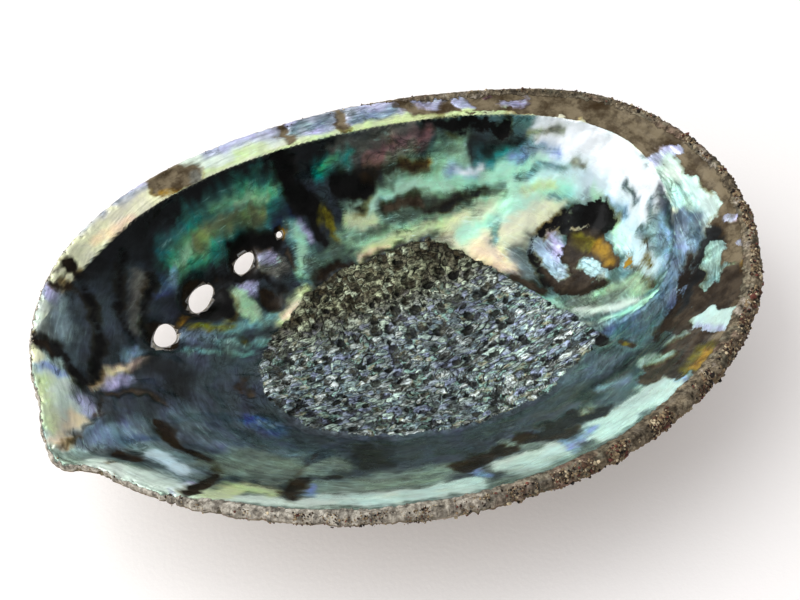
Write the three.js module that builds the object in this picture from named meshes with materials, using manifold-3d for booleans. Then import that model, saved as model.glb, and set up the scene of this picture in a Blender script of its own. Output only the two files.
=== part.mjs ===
// An abalone shell lying on its back, nacre up, as one solid.
// Millimetres, +Z up. +X runs to the spire end, -X to the growing end, +Y to the broad shelf
// of the inner lip and -Y to the thin outer lip. The rim lies in the plane z = 0 while the
// shape is worked out, and the finished shell is then lifted to stand on z = 0.
import * as THREE from "three";
import { mergeVertices } from "three/addons/utils/BufferGeometryUtils.js";
import Module from "manifold-3d";

// Driving dimensions
const DEPTH = 31; // rim plane to the floor of the bowl
const WALL = 3.2; // thickness of the floor
const WORN = 0.7; // how much of the back is worn flat, where the shell rests
const SHELF_WALL = [15, 14, 12, 7]; // reach of the steep wall below the shelf, start to end
const SPOKES = 96; // the surface is built as profiles on spokes that fan out from CENTRE
const BOWL_RINGS = 15; // rings from the centre to the edge of the shelf
const SHELF_RINGS = 7; // rings from there to the rim
const OUTER_RINGS = 15;

const CENTRE = { x: 3, y: 2 }; // deepest point of the bowl
const HOLLOW = { x: 53, y: 9, depth: 5, radius: 15 }; // hollow of the spire, inside
const PIT = { x: 58, y: 15, depth: 2, radius: 3.5 }; // where the hollow turns into the whorl
const APEX = { x: 55, y: 11, height: 8.5, radius: 16 }; // spire, outside
const SCAR = { x: 5, y: 3, long: 37, wide: 28, height: 0.8 }; // muscle scar, a low pad
const KEEL = { width: 4.5, height: 1.6 }; // the pore row's fold: a groove inside, a ridge outside

// The rim seen from above, round from the spire end over the shelf side. The two points near
// x = -84 are the corner of the growing edge, in line with the pores.
const RIM = [
  [83.6, -1], [82.6, 12], [77.5, 26], [68.5, 37.5], [55, 46], [38, 52.5], [18, 57.5],
  [-4, 59.6], [-24, 58.6], [-42, 54.6], [-56, 48.2], [-68, 38.5], [-76.5, 26], [-81.3, 12.5],
  [-82.3, 3], [-84, -6], [-83.4, -13.4], [-77, -18.4], [-71, -26], [-61, -35.6],
  [-48, -44.6], [-33, -52], [-16, -57.4], [3, -59.8], [22, -58.8], [40, -53.8], [56, -46],
  [70, -34], [79.5, -18],
];

// The inner edge of the shelf, from where it leaves the rim at the growing end, along the
// shelf side, round the hollow of the spire and down to the floor, as [x, y, z].
const SHELF_EDGE = [
  [-72, 27, -3.4], [-64, 35.5, -2.6], [-54, 42, -2], [-43, 47, -1.6], [-30, 50.6, -1.5],
  [-16, 52.4, -1.5], [-3, 52.4, -1.5], [9, 51.3, -1.5], [21, 49.2, -1.5], [33, 46, -1.5],
  [45.5, 41.4, -1.7], [56.5, 35.5, -2], [64.5, 28.5, -2.2], [68.6, 21.6, -2.5], [70, 14.5, -3],
  [69.8, 7, -4], [68.4, 0, -5.5], [65.5, -6.5, -7.5], [61, -12.5, -10.5], [55, -16, -14.5],
  [49, -15.5, -18.5], [44, -12, -22], [39.5, -7, -25],
];

// The crest of the fold that carries the pores, from the corner of the growing edge back
// along the pores and round towards the spire
const KEEL_LINE = [
  [-84, -12], [-75, -2], [-64, 11], [-50, 24], [-37, 33.5], [-24, 39.2], [-11, 42.6], [4, 43.5],
];

// Section of the bowl by direction from CENTRE: z = -depth (1 - q^power)^root, with q the
// share of the way to the rim. A low root is a steep wall, a high one a lip that flattens out.
const SECTIONS = [
  { degrees: 0, power: 2.4, root: 1.0, lip: 3.0 },
  { degrees: 45, power: 2.8, root: 0.95, lip: 2.8 },
  { degrees: 90, power: 3.0, root: 0.95, lip: 2.2 },
  { degrees: 135, power: 2.9, root: 1.0, lip: 1.8 },
  { degrees: 180, power: 2.4, root: 1.15, lip: 1.5 },
  { degrees: 225, power: 2.1, root: 1.25, lip: 1.8 },
  { degrees: 270, power: 2.1, root: 1.25, lip: 2.4 },
  { degrees: 315, power: 2.2, root: 1.15, lip: 3.0 },
];
const OUTSIDE = { power: 0.35, root: -0.1 }; // the back is a little fuller than the bowl

// The open pores: centre, length along the row and width
const PORES = [
  { x: -49.6, y: 24.0, long: 5.4, wide: 4.8 },
  { x: -37.4, y: 33.5, long: 6.4, wide: 4.8 },
  { x: -23.9, y: 39.2, long: 5.4, wide: 4.2 },
  { x: -13.2, y: 42.3, long: 1.6, wide: 1.4 },
];
const PORE_ROW_DEGREES = 32; // direction of the row of pores
const PORE_DRILL = 18; // length of the solid that opens a pore
const PORE_SIDES = 16;

const clamp = (value, low, high) => Math.min(high, Math.max(low, value));

function smoothstep(low, high, value) {
  const t = clamp((value - low) / (high - low), 0, 1);
  return t * t * (3 - 2 * t);
}

const gauss = (x, y, spot) =>
  Math.exp(-((Math.hypot(x - spot.x, y - spot.y) / spot.radius) ** 2));

const angleOf = (x, y) => Math.atan2(y - CENTRE.y, x - CENTRE.x);

function curveThrough(points, closed, samples) {
  const vectors = points.map(([x, y, z = 0]) => new THREE.Vector3(x, y, z));
  return new THREE.CatmullRomCurve3(vectors, closed, "centripetal").getPoints(samples);
}

// Distance from CENTRE to the rim, by direction. The second table is the same with the corner
// smoothed away, which is what the bowl follows further in.
const RADII = 360;

function rimTable() {
  const rim = curveThrough(RIM, true, 1200);
  const table = new Array(RADII).fill(0);
  const nearest = new Array(RADII).fill(Infinity);
  for (const p of rim) {
    const turn = ((angleOf(p.x, p.y) / (2 * Math.PI)) * RADII + RADII) % RADII;
    const slot = Math.round(turn) % RADII;
    const off = Math.abs(turn - Math.round(turn));
    if (off < nearest[slot]) {
      nearest[slot] = off;
      table[slot] = Math.hypot(p.x - CENTRE.x, p.y - CENTRE.y);
    }
  }
  return table;
}

function smoothed(table, reach) {
  return table.map((_, i) => {
    let sum = 0;
    for (let k = -reach; k <= reach; k++) sum += table[(i + k + RADII) % RADII];
    return sum / (2 * reach + 1);
  });
}

const RIM_RADIUS = rimTable();
const SOFT_RADIUS = smoothed(smoothed(RIM_RADIUS, 12), 12);

function lookUp(table, angle) {
  const turn = ((angle / (2 * Math.PI)) * RADII + RADII) % RADII;
  const i = Math.floor(turn);
  return THREE.MathUtils.lerp(table[i % RADII], table[(i + 1) % RADII], turn - i);
}

function sectionAt(angle) {
  const step = 360 / SECTIONS.length;
  const turn = ((THREE.MathUtils.radToDeg(angle) + 360) % 360) / step;
  const i = Math.floor(turn) % SECTIONS.length;
  const a = SECTIONS[i];
  const b = SECTIONS[(i + 1) % SECTIONS.length];
  const t = smoothstep(0, 1, turn - Math.floor(turn));
  const mix = (key) => THREE.MathUtils.lerp(a[key], b[key], t);
  return { power: mix("power"), root: mix("root"), lip: mix("lip") };
}

// Share of the way from CENTRE to a rim that stands `inset` inside the true one
function shareOfRadius(x, y, inset) {
  const angle = angleOf(x, y);
  const r = Math.hypot(x - CENTRE.x, y - CENTRE.y);
  const exact = clamp(r / (lookUp(RIM_RADIUS, angle) - inset), 0, 1);
  const soft = clamp(r / (lookUp(SOFT_RADIUS, angle) - inset), 0, 1);
  return THREE.MathUtils.lerp(soft, exact, smoothstep(0.6, 1, exact));
}

function bowlHeight(x, y) {
  const { power, root, lip } = sectionAt(angleOf(x, y));
  return -DEPTH * (1 - shareOfRadius(x, y, lip) ** power) ** root;
}

// The shelf's edge as samples, each with how far it stands above the bowl and how far its
// wall reaches into the bowl. Both ends fade into the bowl.
function shelfSamples() {
  const points = curveThrough(SHELF_EDGE, false, 300);
  const along = [0];
  for (let i = 1; i < points.length; i++)
    along.push(along[i - 1] + points[i].distanceTo(points[i - 1]));
  const whole = along[along.length - 1];
  return points.map((p, i) => {
    const next = points[Math.min(i + 1, points.length - 1)];
    const last = points[Math.max(i - 1, 0)];
    const fade = smoothstep(0, 26, along[i]) * smoothstep(0, 8, whole - along[i]);
    const part = (along[i] / whole) * (SHELF_WALL.length - 1);
    const k = Math.min(Math.floor(part), SHELF_WALL.length - 2);
    return {
      x: p.x,
      y: p.y,
      direction: new THREE.Vector2(next.x - last.x, next.y - last.y).normalize(),
      lift: fade * (p.z - bowlHeight(p.x, p.y)),
      reach: THREE.MathUtils.lerp(SHELF_WALL[k], SHELF_WALL[k + 1], part - k),
    };
  });
}

const SHELF = shelfSamples();

// The nearest sample of the shelf's edge, and the distance to it, positive on the shelf
function nearestShelf(x, y) {
  let best = null;
  let least = Infinity;
  for (const s of SHELF) {
    const d = Math.hypot(x - s.x, y - s.y);
    if (d < least) {
      least = d;
      best = s;
    }
  }
  const side = best.direction.x * (y - best.y) - best.direction.y * (x - best.x);
  return { sample: best, distance: side > 0 ? least : -least };
}

const KEEL_SAMPLES = curveThrough(KEEL_LINE, false, 120);

// 1 on the crest of the fold, dying away to its sides and towards its old end
function keelAt(x, y) {
  let least = Infinity;
  let part = 0;
  KEEL_SAMPLES.forEach((p, i) => {
    const d = Math.hypot(x - p.x, y - p.y);
    if (d < least) {
      least = d;
      part = i / KEEL_SAMPLES.length;
    }
  });
  return Math.exp(-((least / KEEL.width) ** 2)) * (1 - smoothstep(0.55, 1, part));
}

function scarAt(x, y) {
  const spread = Math.hypot((x - SCAR.x) / SCAR.long, (y - SCAR.y) / SCAR.wide);
  return 1 - smoothstep(0.9, 1.05, spread);
}

function innerHeight(x, y) {
  const { lip } = sectionAt(angleOf(x, y));
  const { sample, distance } = nearestShelf(x, y);
  const toRim = (1 - shareOfRadius(x, y, lip)) * lookUp(RIM_RADIUS, angleOf(x, y));
  const onShelf = toRim / Math.max(toRim + distance, 1e-6);
  const onWall = (1 - clamp(-distance / sample.reach, 0, 1)) ** 2;
  const spread = Math.hypot(x - HOLLOW.x, y - HOLLOW.y) / HOLLOW.radius;
  const hollow = HOLLOW.depth * smoothstep(0, 8, -distance) * Math.exp(-(spread ** 4));
  const lift = sample.lift * (distance > 0 ? onShelf : onWall);
  const groove = KEEL.height * keelAt(x, y) * smoothstep(0, 6, toRim);
  const pits = hollow + PIT.depth * gauss(x, y, PIT);
  return bowlHeight(x, y) + lift - groove - pits + SCAR.height * scarAt(x, y);
}

function outerHeight(x, y) {
  const { power, root, lip } = sectionAt(angleOf(x, y));
  const share = shareOfRadius(x, y, 0);
  const back = (1 - share ** (power + OUTSIDE.power)) ** (root + OUTSIDE.root);
  const spire = APEX.height * gauss(x, y, APEX) * smoothstep(0, 0.15, 1 - share);
  const ridge = 1.3 * KEEL.height * keelAt(x, y) * smoothstep(0, 0.1, 1 - share);
  const height = -lip - (DEPTH + WALL - lip) * back - spire - ridge;
  return Math.max(height, WORN - DEPTH - WALL);
}

// Where each spoke crosses the shelf's edge, so that a ring of the surface runs along it. The
// spokes that miss it ease from the value at one end of the edge to the value at the other.
function bendTable() {
  const table = new Array(RADII).fill(0);
  for (const { x, y } of SHELF) {
    const slot = (Math.round((angleOf(x, y) / (2 * Math.PI)) * RADII) + RADII) % RADII;
    table[slot] = Math.max(table[slot], Math.hypot(x - CENTRE.x, y - CENTRE.y));
  }
  const known = table.map((r, i) => [i, r]).filter(([, r]) => r > 0);
  return table.map((r, i) => {
    if (r > 0) return r;
    const after = known.find(([k]) => k > i) ?? [known[0][0] + RADII, known[0][1]];
    const before = known.findLast(([k]) => k < i) ?? [known.at(-1)[0] - RADII, known.at(-1)[1]];
    return THREE.MathUtils.lerp(before[1], after[1], smoothstep(before[0], after[0], i));
  });
}

const BEND = bendTable();

function innerRadii(angle, radius) {
  const bend = Math.min(lookUp(BEND, angle), radius - 2.5);
  const radii = [];
  const ease = (t) => Math.sin(1.25 * t) / Math.sin(1.25);
  for (let i = 1; i <= BOWL_RINGS; i++) radii.push(bend * ease(i / BOWL_RINGS));
  for (let i = 1; i <= SHELF_RINGS; i++)
    radii.push(THREE.MathUtils.lerp(bend, radius, i / SHELF_RINGS));
  return radii;
}

// One spoke's profile, from the floor of the bowl out to the rim, over it and back underneath
function profile(angle) {
  const radius = lookUp(RIM_RADIUS, angle);
  const { lip } = sectionAt(angle);
  const place = (r, heightAt) => {
    const x = CENTRE.x + r * Math.cos(angle);
    const y = CENTRE.y + r * Math.sin(angle);
    return [x, y, heightAt(x, y)];
  };
  const points = innerRadii(angle, radius - lip).map((r) => place(r, innerHeight));
  points.push(place(radius - 0.45 * lip, () => 0.12 * lip));
  points.push(place(radius, () => -0.4 * lip));
  for (let i = OUTER_RINGS; i > 0; i--)
    points.push(place(radius * 0.995 * (i / OUTER_RINGS) ** 0.8, outerHeight));
  return points;
}

function wallGeometry() {
  const profiles = [];
  for (let i = 0; i < SPOKES; i++) profiles.push(profile((i / SPOKES) * 2 * Math.PI));
  const rings = profiles[0].length;
  const floor = [CENTRE.x, CENTRE.y, innerHeight(CENTRE.x, CENTRE.y)];
  const back = [CENTRE.x, CENTRE.y, outerHeight(CENTRE.x, CENTRE.y)];
  const positions = [...profiles.flat(), floor, back].flat();
  const top = SPOKES * rings;
  const faces = [];
  for (let i = 0; i < SPOKES; i++) {
    const a = i * rings;
    const b = ((i + 1) % SPOKES) * rings;
    faces.push(top, a, b);
    for (let k = 0; k < rings - 1; k++)
      faces.push(a + k, a + k + 1, b + k + 1, a + k, b + k + 1, b + k);
    faces.push(top + 1, b + rings - 1, a + rings - 1);
  }
  const geometry = new THREE.BufferGeometry();
  geometry.setAttribute("position", new THREE.Float32BufferAttribute(positions, 3));
  geometry.setIndex(faces);
  return geometry;
}

// A solid that opens one pore, along the wall's own normal
function poreDrill({ x, y, long, wide }) {
  const e = 1;
  const slopeX = (innerHeight(x + e, y) - innerHeight(x - e, y)) / (2 * e);
  const slopeY = (innerHeight(x, y + e) - innerHeight(x, y - e)) / (2 * e);
  const normal = new THREE.Vector3(-slopeX, -slopeY, 1).normalize();
  const row = THREE.MathUtils.degToRad(PORE_ROW_DEGREES);
  const across = new THREE.Vector3(Math.cos(row), Math.sin(row), 0).cross(normal).normalize();
  const along = new THREE.Vector3().crossVectors(normal, across).normalize();
  const geometry = new THREE.CylinderGeometry(0.5, 0.5, PORE_DRILL, PORE_SIDES);
  geometry.scale(long, 1, wide);
  const turn = new THREE.Matrix4().makeBasis(along, normal, across);
  geometry.applyMatrix4(turn.setPosition(x, y, innerHeight(x, y)));
  return geometry;
}

const wasm = await Module();
wasm.setup();

function solidOf(geometry) {
  geometry.deleteAttribute("normal");
  geometry.deleteAttribute("uv");
  const merged = mergeVertices(geometry, 1e-4);
  return new wasm.Manifold(
    new wasm.Mesh({
      numProp: 3,
      vertProperties: new Float32Array(merged.attributes.position.array),
      triVerts: new Uint32Array(merged.index.array),
    }),
  );
}

function geometryOf(solid) {
  const { vertProperties, triVerts } = solid.getMesh();
  const geometry = new THREE.BufferGeometry();
  geometry.setAttribute("position", new THREE.Float32BufferAttribute(vertProperties, 3));
  geometry.setIndex(new THREE.Uint32BufferAttribute(triVerts, 1));
  geometry.computeVertexNormals();
  return geometry;
}

function shellMesh() {
  let solid = solidOf(wallGeometry());
  for (const pore of PORES) solid = solid.subtract(solidOf(poreDrill(pore)));
  const geometry = geometryOf(solid);
  geometry.computeBoundingBox();
  const { min, max } = geometry.boundingBox;
  geometry.translate(-(min.x + max.x) / 2, -(min.y + max.y) / 2, -min.z);
  const nacre = new THREE.MeshStandardMaterial({
    color: 0x6f9a90,
    roughness: 0.3,
    metalness: 0.3,
  });
  const mesh = new THREE.Mesh(geometry, nacre);
  mesh.name = "shell";
  return mesh;
}

const abalone = new THREE.Group();
abalone.add(shellMesh());

export default abalone;
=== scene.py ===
"""An abalone shell lying on its back, its pearly inside up, on a pale table.

The shell is one closed mesh. Two sheets of the same square grid, bent to the rim's outline, make
the inside and the back, and a rolled lip joins them. Its shape is worked out in millimetres from
the same driving dimensions as the CAD solid, with the rim in the plane z = 0; at the end it is
brought to metres and lifted to stand on z = 0. +X is the spire end and +Y the shelf side. Colours
and layers are strokes laid on the inside, also in millimetres; the material breaks up their edges
and adds the fine streaks, grain and relief.
"""

import math

import bmesh
import bpy
import numpy as np
from mathutils import Matrix, Vector


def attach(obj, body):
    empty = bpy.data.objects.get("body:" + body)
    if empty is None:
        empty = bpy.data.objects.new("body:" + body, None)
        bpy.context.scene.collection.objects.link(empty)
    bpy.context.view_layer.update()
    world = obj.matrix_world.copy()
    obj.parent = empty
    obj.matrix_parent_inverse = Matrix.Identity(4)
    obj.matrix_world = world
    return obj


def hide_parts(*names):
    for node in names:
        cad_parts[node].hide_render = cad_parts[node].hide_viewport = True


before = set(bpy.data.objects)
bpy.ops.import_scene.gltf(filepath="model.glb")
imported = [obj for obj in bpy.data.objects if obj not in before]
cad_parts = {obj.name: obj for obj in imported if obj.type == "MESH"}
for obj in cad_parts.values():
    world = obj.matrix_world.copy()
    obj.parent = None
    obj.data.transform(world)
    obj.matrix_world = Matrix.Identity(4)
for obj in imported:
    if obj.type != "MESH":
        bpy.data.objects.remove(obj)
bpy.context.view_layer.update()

# ---------------------------------------------------------------- driving dimensions, mm

DEPTH = 31.0  # rim plane to the floor of the bowl
WALL = 3.2  # thickness of the floor
WORN = 0.7  # how much of the back is worn flat, where the shell rests
LIFT = DEPTH + WALL - WORN  # rim plane above the table
CENTRE = (3.0, 2.0)  # deepest point of the bowl
HOLLOW = {"at": (53, 9), "depth": 5.0, "radius": 15.0}  # hollow of the spire, inside
PIT = {"at": (58, 15), "depth": 2.0, "radius": 3.5}  # where it turns into the whorl
APEX = {"at": (55, 11), "height": 8.5, "radius": 16.0}  # spire, outside
SHELF_WALL = (15, 14, 12, 7)  # reach of the steep wall below the shelf, start to end
KEEL = {"width": 4.5, "height": 1.6}  # fold of the pore row
SCAR_HEIGHT = 0.8  # how far the muscle scar stands up

# The rim from above, round from the spire end over the shelf side
RIM = [
    (83.6, -1), (82.6, 12), (77.5, 26), (68.5, 37.5), (55, 46), (38, 52.5), (18, 57.5),
    (-4, 59.6), (-24, 58.6), (-42, 54.6), (-56, 48.2), (-68, 38.5), (-76.5, 26), (-81.3, 12.5),
    (-82.3, 3), (-84, -6), (-83.4, -13.4), (-77, -18.4), (-71, -26), (-61, -35.6),
    (-48, -44.6), (-33, -52), (-16, -57.4), (3, -59.8), (22, -58.8), (40, -53.8), (56, -46),
    (70, -34), (79.5, -18),
]

# The inner edge of the shelf, from the growing end round the hollow and down to the floor
SHELF_EDGE = [
    (-72, 27, -3.4), (-64, 35.5, -2.6), (-54, 42, -2), (-43, 47, -1.6), (-30, 50.6, -1.5),
    (-16, 52.4, -1.5), (-3, 52.4, -1.5), (9, 51.3, -1.5), (21, 49.2, -1.5), (33, 46, -1.5),
    (45.5, 41.4, -1.7), (56.5, 35.5, -2), (64.5, 28.5, -2.2), (68.6, 21.6, -2.5),
    (70, 14.5, -3), (69.8, 7, -4), (68.4, 0, -5.5), (65.5, -6.5, -7.5), (61, -12.5, -10.5),
    (55, -16, -14.5), (49, -15.5, -18.5), (44, -12, -22), (39.5, -7, -25),
]

# Crest of the fold that carries the pores, from the corner of the growing edge
KEEL_LINE = [
    (-84, -12), (-75, -2), (-64, 11), (-50, 24), (-37, 33.5), (-24, 39.2), (-11, 42.6), (4, 43.5),
]

# Outline of the muscle scar
SCAR = [
    (21, 31), (27, 25), (33, 15), (38, 5), (41, -6), (42, -16), (38, -19), (31, -21), (24, -25),
    (16, -25.5), (6.5, -25), (-2, -23), (-11, -20), (-20, -15), (-28, -9), (-31, -2), (-33, 3),
    (-32, 11), (-29, 16), (-24, 21), (-18.5, 25), (-12, 29), (-2.5, 32), (8, 32),
]

# Section of the bowl by direction, every 45 degrees: power, root, thickness of the lip
SECTIONS = np.array([
    (2.4, 1.0, 3.0), (2.8, 0.95, 2.8), (3.0, 0.95, 2.2), (2.9, 1.0, 1.8),
    (2.4, 1.15, 1.5), (2.1, 1.25, 1.8), (2.1, 1.25, 2.4), (2.2, 1.15, 3.0),
])
OUTSIDE = (0.35, -0.1)  # the back is a little fuller than the bowl

# Open pores: x, y, length along the row, width
PORES = [
    (-49.2, 24.3, 5.0, 5.2), (-37.4, 33.4, 7.0, 4.7),
    (-24.2, 39.2, 5.6, 3.8), (-13.6, 42.6, 1.6, 1.3),
]
PORE_ROW = math.radians(34)  # direction of the row
MM = 0.001  # a millimetre, in metres
FULL_TURN = 2 * math.pi

# ---------------------------------------------------------------- small maths


def smooth(low, high, value):
    """A smooth step from 0 at low to 1 at high."""
    t = np.clip((value - low) / (high - low), 0, 1)
    return t * t * (3 - 2 * t)


def mix(a, b, t):
    return a + (b - a) * t


def lattice(i, j, k, seed):
    """A fixed pseudo-random number from 0 to 1 for each whole-number place."""
    h = i * 374761393 + j * 668265263 + k * 1442695041 + seed * 1274126177
    h = h & 0xFFFFFFFF
    h = ((h ^ (h >> 13)) * 1274126177) & 0xFFFFFFFF
    return ((h ^ (h >> 16)) & 0xFFFFFF) / 0xFFFFFF


def noise(x, y, seed=0):
    """Smooth noise from about -1 to 1, with a random slope at each whole-number place."""
    i, j = np.floor(x).astype(np.int64), np.floor(y).astype(np.int64)
    u, v = x - i, y - j

    def slope(a, b):
        turn = FULL_TURN * lattice(i + a, j + b, 0, seed)
        return np.cos(turn) * (u - a) + np.sin(turn) * (v - b)

    s, t = u * u * u * (u * (u * 6 - 15) + 10), v * v * v * (v * (v * 6 - 15) + 10)
    return 1.5 * mix(mix(slope(0, 0), slope(1, 0), s), mix(slope(0, 1), slope(1, 1), s), t)


def fbm(x, y, seed=0, octaves=4):
    """Noise with finer noise added, each octave twice as fine, half as strong and turned."""
    total, size = 0.0, 1.0
    for k in range(octaves):
        total = total + size * noise(x, y, seed + k)
        x, y = 1.6 * x - 1.2 * y, 1.2 * x + 1.6 * y
        size *= 0.5
    return total / 1.6


def cells(u, v, seed=0):
    """Distance to the nearest and second nearest of scattered points, and the nearest's number."""
    i, j = np.floor(u).astype(np.int64), np.floor(v).astype(np.int64)
    first, second, who = np.full(u.shape, 9.0), np.full(u.shape, 9.0), np.zeros(u.shape)
    for di in (-1, 0, 1):
        for dj in (-1, 0, 1):
            a, b = i + di, j + dj
            d = np.hypot(a + lattice(a, b, 1, seed) - u, b + lattice(a, b, 2, seed) - v)
            nearer = d < first
            second = np.where(nearer, first, np.minimum(second, d))
            who = np.where(nearer, lattice(a, b, 3, seed), who)
            first = np.where(nearer, d, first)
    return first, second, who


def curve(points, closed, samples=24):
    """A centripetal Catmull-Rom curve through the points."""
    p = np.array(points, float)
    n = len(p)
    out = []
    for i in range(n if closed else n - 1):
        a, b = p[i], p[(i + 1) % n]
        before = p[i - 1] if closed or i > 0 else 2 * a - b
        after = p[(i + 2) % n] if closed or i + 2 < n else 2 * b - a
        steps = [math.sqrt(math.dist(s, e)) for s, e in ((before, a), (a, b), (b, after))]
        t0, t1, t2, t3 = np.cumsum([0.0] + steps)
        t = np.linspace(t1, t2, samples, endpoint=False)[:, None]

        def blend(from_value, to_value, start, end):
            return (end - t) / (end - start) * from_value + (t - start) / (end - start) * to_value

        a1, a2, a3 = blend(before, a, t0, t1), blend(a, b, t1, t2), blend(b, after, t2, t3)
        out.append(blend(blend(a1, a2, t0, t2), blend(a2, a3, t1, t3), t1, t2))
    return np.vstack(out + ([] if closed else [p[-1:]]))


BATCH = 20000  # places compared with all the points at a time, to spare memory


def nearest(x, y, points):
    """Distance from each (x, y) to the nearest of the points, and which it is."""
    d, which = np.empty(len(x)), np.empty(len(x), int)
    for start in range(0, len(x), BATCH):
        part = slice(start, start + BATCH)
        gap = np.hypot(x[part, None] - points[:, 0], y[part, None] - points[:, 1])
        which[part] = gap.argmin(1)
        d[part] = gap.min(1)
    return d, which


def to_line(x, y, points):
    """Distance from each (x, y) to a line through the points."""
    if len(points) == 1:
        return np.hypot(x - points[0][0], y - points[0][1])
    best = np.full(x.shape, 1e9)
    for (ax, ay), (bx, by) in zip(points, points[1:]):
        t = ((x - ax) * (bx - ax) + (y - ay) * (by - ay)) / ((bx - ax) ** 2 + (by - ay) ** 2)
        t = np.clip(t, 0, 1)
        best = np.minimum(best, np.hypot(x - ax - t * (bx - ax), y - ay - t * (by - ay)))
    return best


def in_outline(x, y, points):
    """Distance to a closed outline, positive inside it."""
    ring = list(points) + [points[0]]
    inside = np.zeros(x.shape, bool)
    for (ax, ay), (bx, by) in zip(ring, ring[1:]):
        if ay != by:
            inside ^= ((ay > y) != (by > y)) & (x < (bx - ax) * (y - ay) / (by - ay) + ax)
    return np.where(inside, 1, -1) * to_line(x, y, ring)


def linear(code):
    """A six-digit screen colour as linear light."""
    c = np.array([int(code[i : i + 2], 16) for i in (0, 2, 4)]) / 255
    return np.where(c <= 0.04045, c / 12.92, ((c + 0.055) / 1.055) ** 2.4)


# ---------------------------------------------------------------- the shell's shape, mm

rim = curve(RIM, True)
SHIFT = -(rim.min(0) + rim.max(0)) / 2  # brings the outline's middle to the origin


def polar(x, y, about=CENTRE):
    """Direction and distance of (x, y) from a point."""
    return np.arctan2(y - about[1], x - about[0]), np.hypot(x - about[0], y - about[1])


def rim_reach(angle, about):
    """How far the rim is from a point, in each direction."""
    rim_angle, reach = polar(rim[:, 0], rim[:, 1], about)
    return np.interp(angle, rim_angle, reach, period=FULL_TURN)


def rolling_mean(table, reach):
    """Each row of a table by direction, averaged with its neighbours on both sides."""
    return np.mean([np.roll(table, k, axis=0) for k in range(-reach, reach + 1)], axis=0)


TURN = np.radians(np.arange(360))  # the directions of every table below, a degree apart
RIM_RADIUS = rim_reach(TURN, CENTRE)
SOFT_RADIUS = rolling_mean(RIM_RADIUS, 20)  # without the outline's corner and waves

edge = curve(SHELF_EDGE, False, 16)
edge_along = np.concatenate([[0], np.cumsum(np.hypot(*np.diff(edge[:, :2], axis=0).T))])
edge_way = np.gradient(edge[:, :2], axis=0)
edge_way /= np.linalg.norm(edge_way, axis=1)[:, None]
keel = curve(KEEL_LINE, False, 16)


def around(table, angle):
    """Looks a direction up in a table."""
    return np.interp(angle, TURN, table, period=FULL_TURN)


def section(angle):
    """Power, root and lip thickness of the bowl's section in each direction."""
    place = np.mod(np.degrees(angle), 360) / 45
    i = np.floor(place).astype(int) % 8
    t = smooth(0, 1, place - np.floor(place))
    return [mix(SECTIONS[i, c], SECTIONS[(i + 1) % 8, c], t) for c in range(3)]


def share_of_radius(x, y, inset):
    """0 at the centre to 1 at the rim less an inset, on a softened outline further in."""
    angle, r = polar(x, y)
    exact = np.clip(r / (around(RIM_RADIUS, angle) - inset), 0, 1)
    soft = np.clip(r / (around(SOFT_RADIUS, angle) - inset), 0, 1)
    return mix(soft, exact, smooth(0.6, 1, exact))


def bowl_height(x, y):
    power, root, lip = section(polar(x, y)[0])
    return -DEPTH * (1 - share_of_radius(x, y, lip) ** power) ** root


edge_fade = smooth(0, 26, edge_along) * smooth(0, 8, edge_along[-1] - edge_along)
EDGE_LIFT = edge_fade * (edge[:, 2] - bowl_height(edge[:, 0], edge[:, 1]))
EDGE_REACH = np.interp(edge_along / edge_along[-1], np.linspace(0, 1, 4), SHELF_WALL)


def to_shelf(x, y):
    """Distance to the shelf's edge, positive on the shelf, and the nearest sample of it."""
    d, i = nearest(x, y, edge)
    side = edge_way[i, 0] * (y - edge[i, 1]) - edge_way[i, 1] * (x - edge[i, 0])
    return np.where(side > 0, d, -d), i


def ridge(distance, width):
    return np.exp(-((distance / width) ** 2))


def hump(x, y, at, radius, power=2):
    return np.exp(-((np.hypot(x - at[0], y - at[1]) / radius) ** power))


def keel_at(x, y):
    """1 on the crest of the pore row's fold, fading to the sides and towards the spire."""
    d, i = nearest(x, y, keel)
    return ridge(d, KEEL["width"]) * (1 - smooth(0.55, 1, i / len(keel)))


def inner_height(x, y):
    """Height of the nacre before its fine relief."""
    angle = polar(x, y)[0]
    lip = section(angle)[2]
    d, i = to_shelf(x, y)
    to_rim = (1 - share_of_radius(x, y, lip)) * around(RIM_RADIUS, angle)
    on_shelf = to_rim / np.maximum(to_rim + d, 1e-6)
    on_wall = (1 - np.clip(-d / EDGE_REACH[i], 0, 1)) ** 2
    z = bowl_height(x, y) + EDGE_LIFT[i] * np.where(d > 0, on_shelf, on_wall)
    z = z - HOLLOW["depth"] * smooth(0, 8, -d) * hump(x, y, HOLLOW["at"], HOLLOW["radius"], 4)
    z = z - PIT["depth"] * hump(x, y, PIT["at"], PIT["radius"])
    return z - KEEL["height"] * keel_at(x, y) * smooth(0, 6, to_rim)


def outer_height(x, y):
    """Height of the back before its fine relief."""
    power, root, lip = section(polar(x, y)[0])
    share = share_of_radius(x, y, 0)
    z = -lip - (DEPTH + WALL - lip) * (1 - share ** (power + OUTSIDE[0])) ** (root + OUTSIDE[1])
    z = z - APEX["height"] * hump(x, y, APEX["at"], APEX["radius"]) * smooth(0, 0.15, 1 - share)
    z = z - 1.3 * KEEL["height"] * keel_at(x, y) * smooth(0, 0.1, 1 - share)
    return np.maximum(z, WORN - DEPTH - WALL)


# ---------------------------------------------------------------- the mesh

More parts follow.
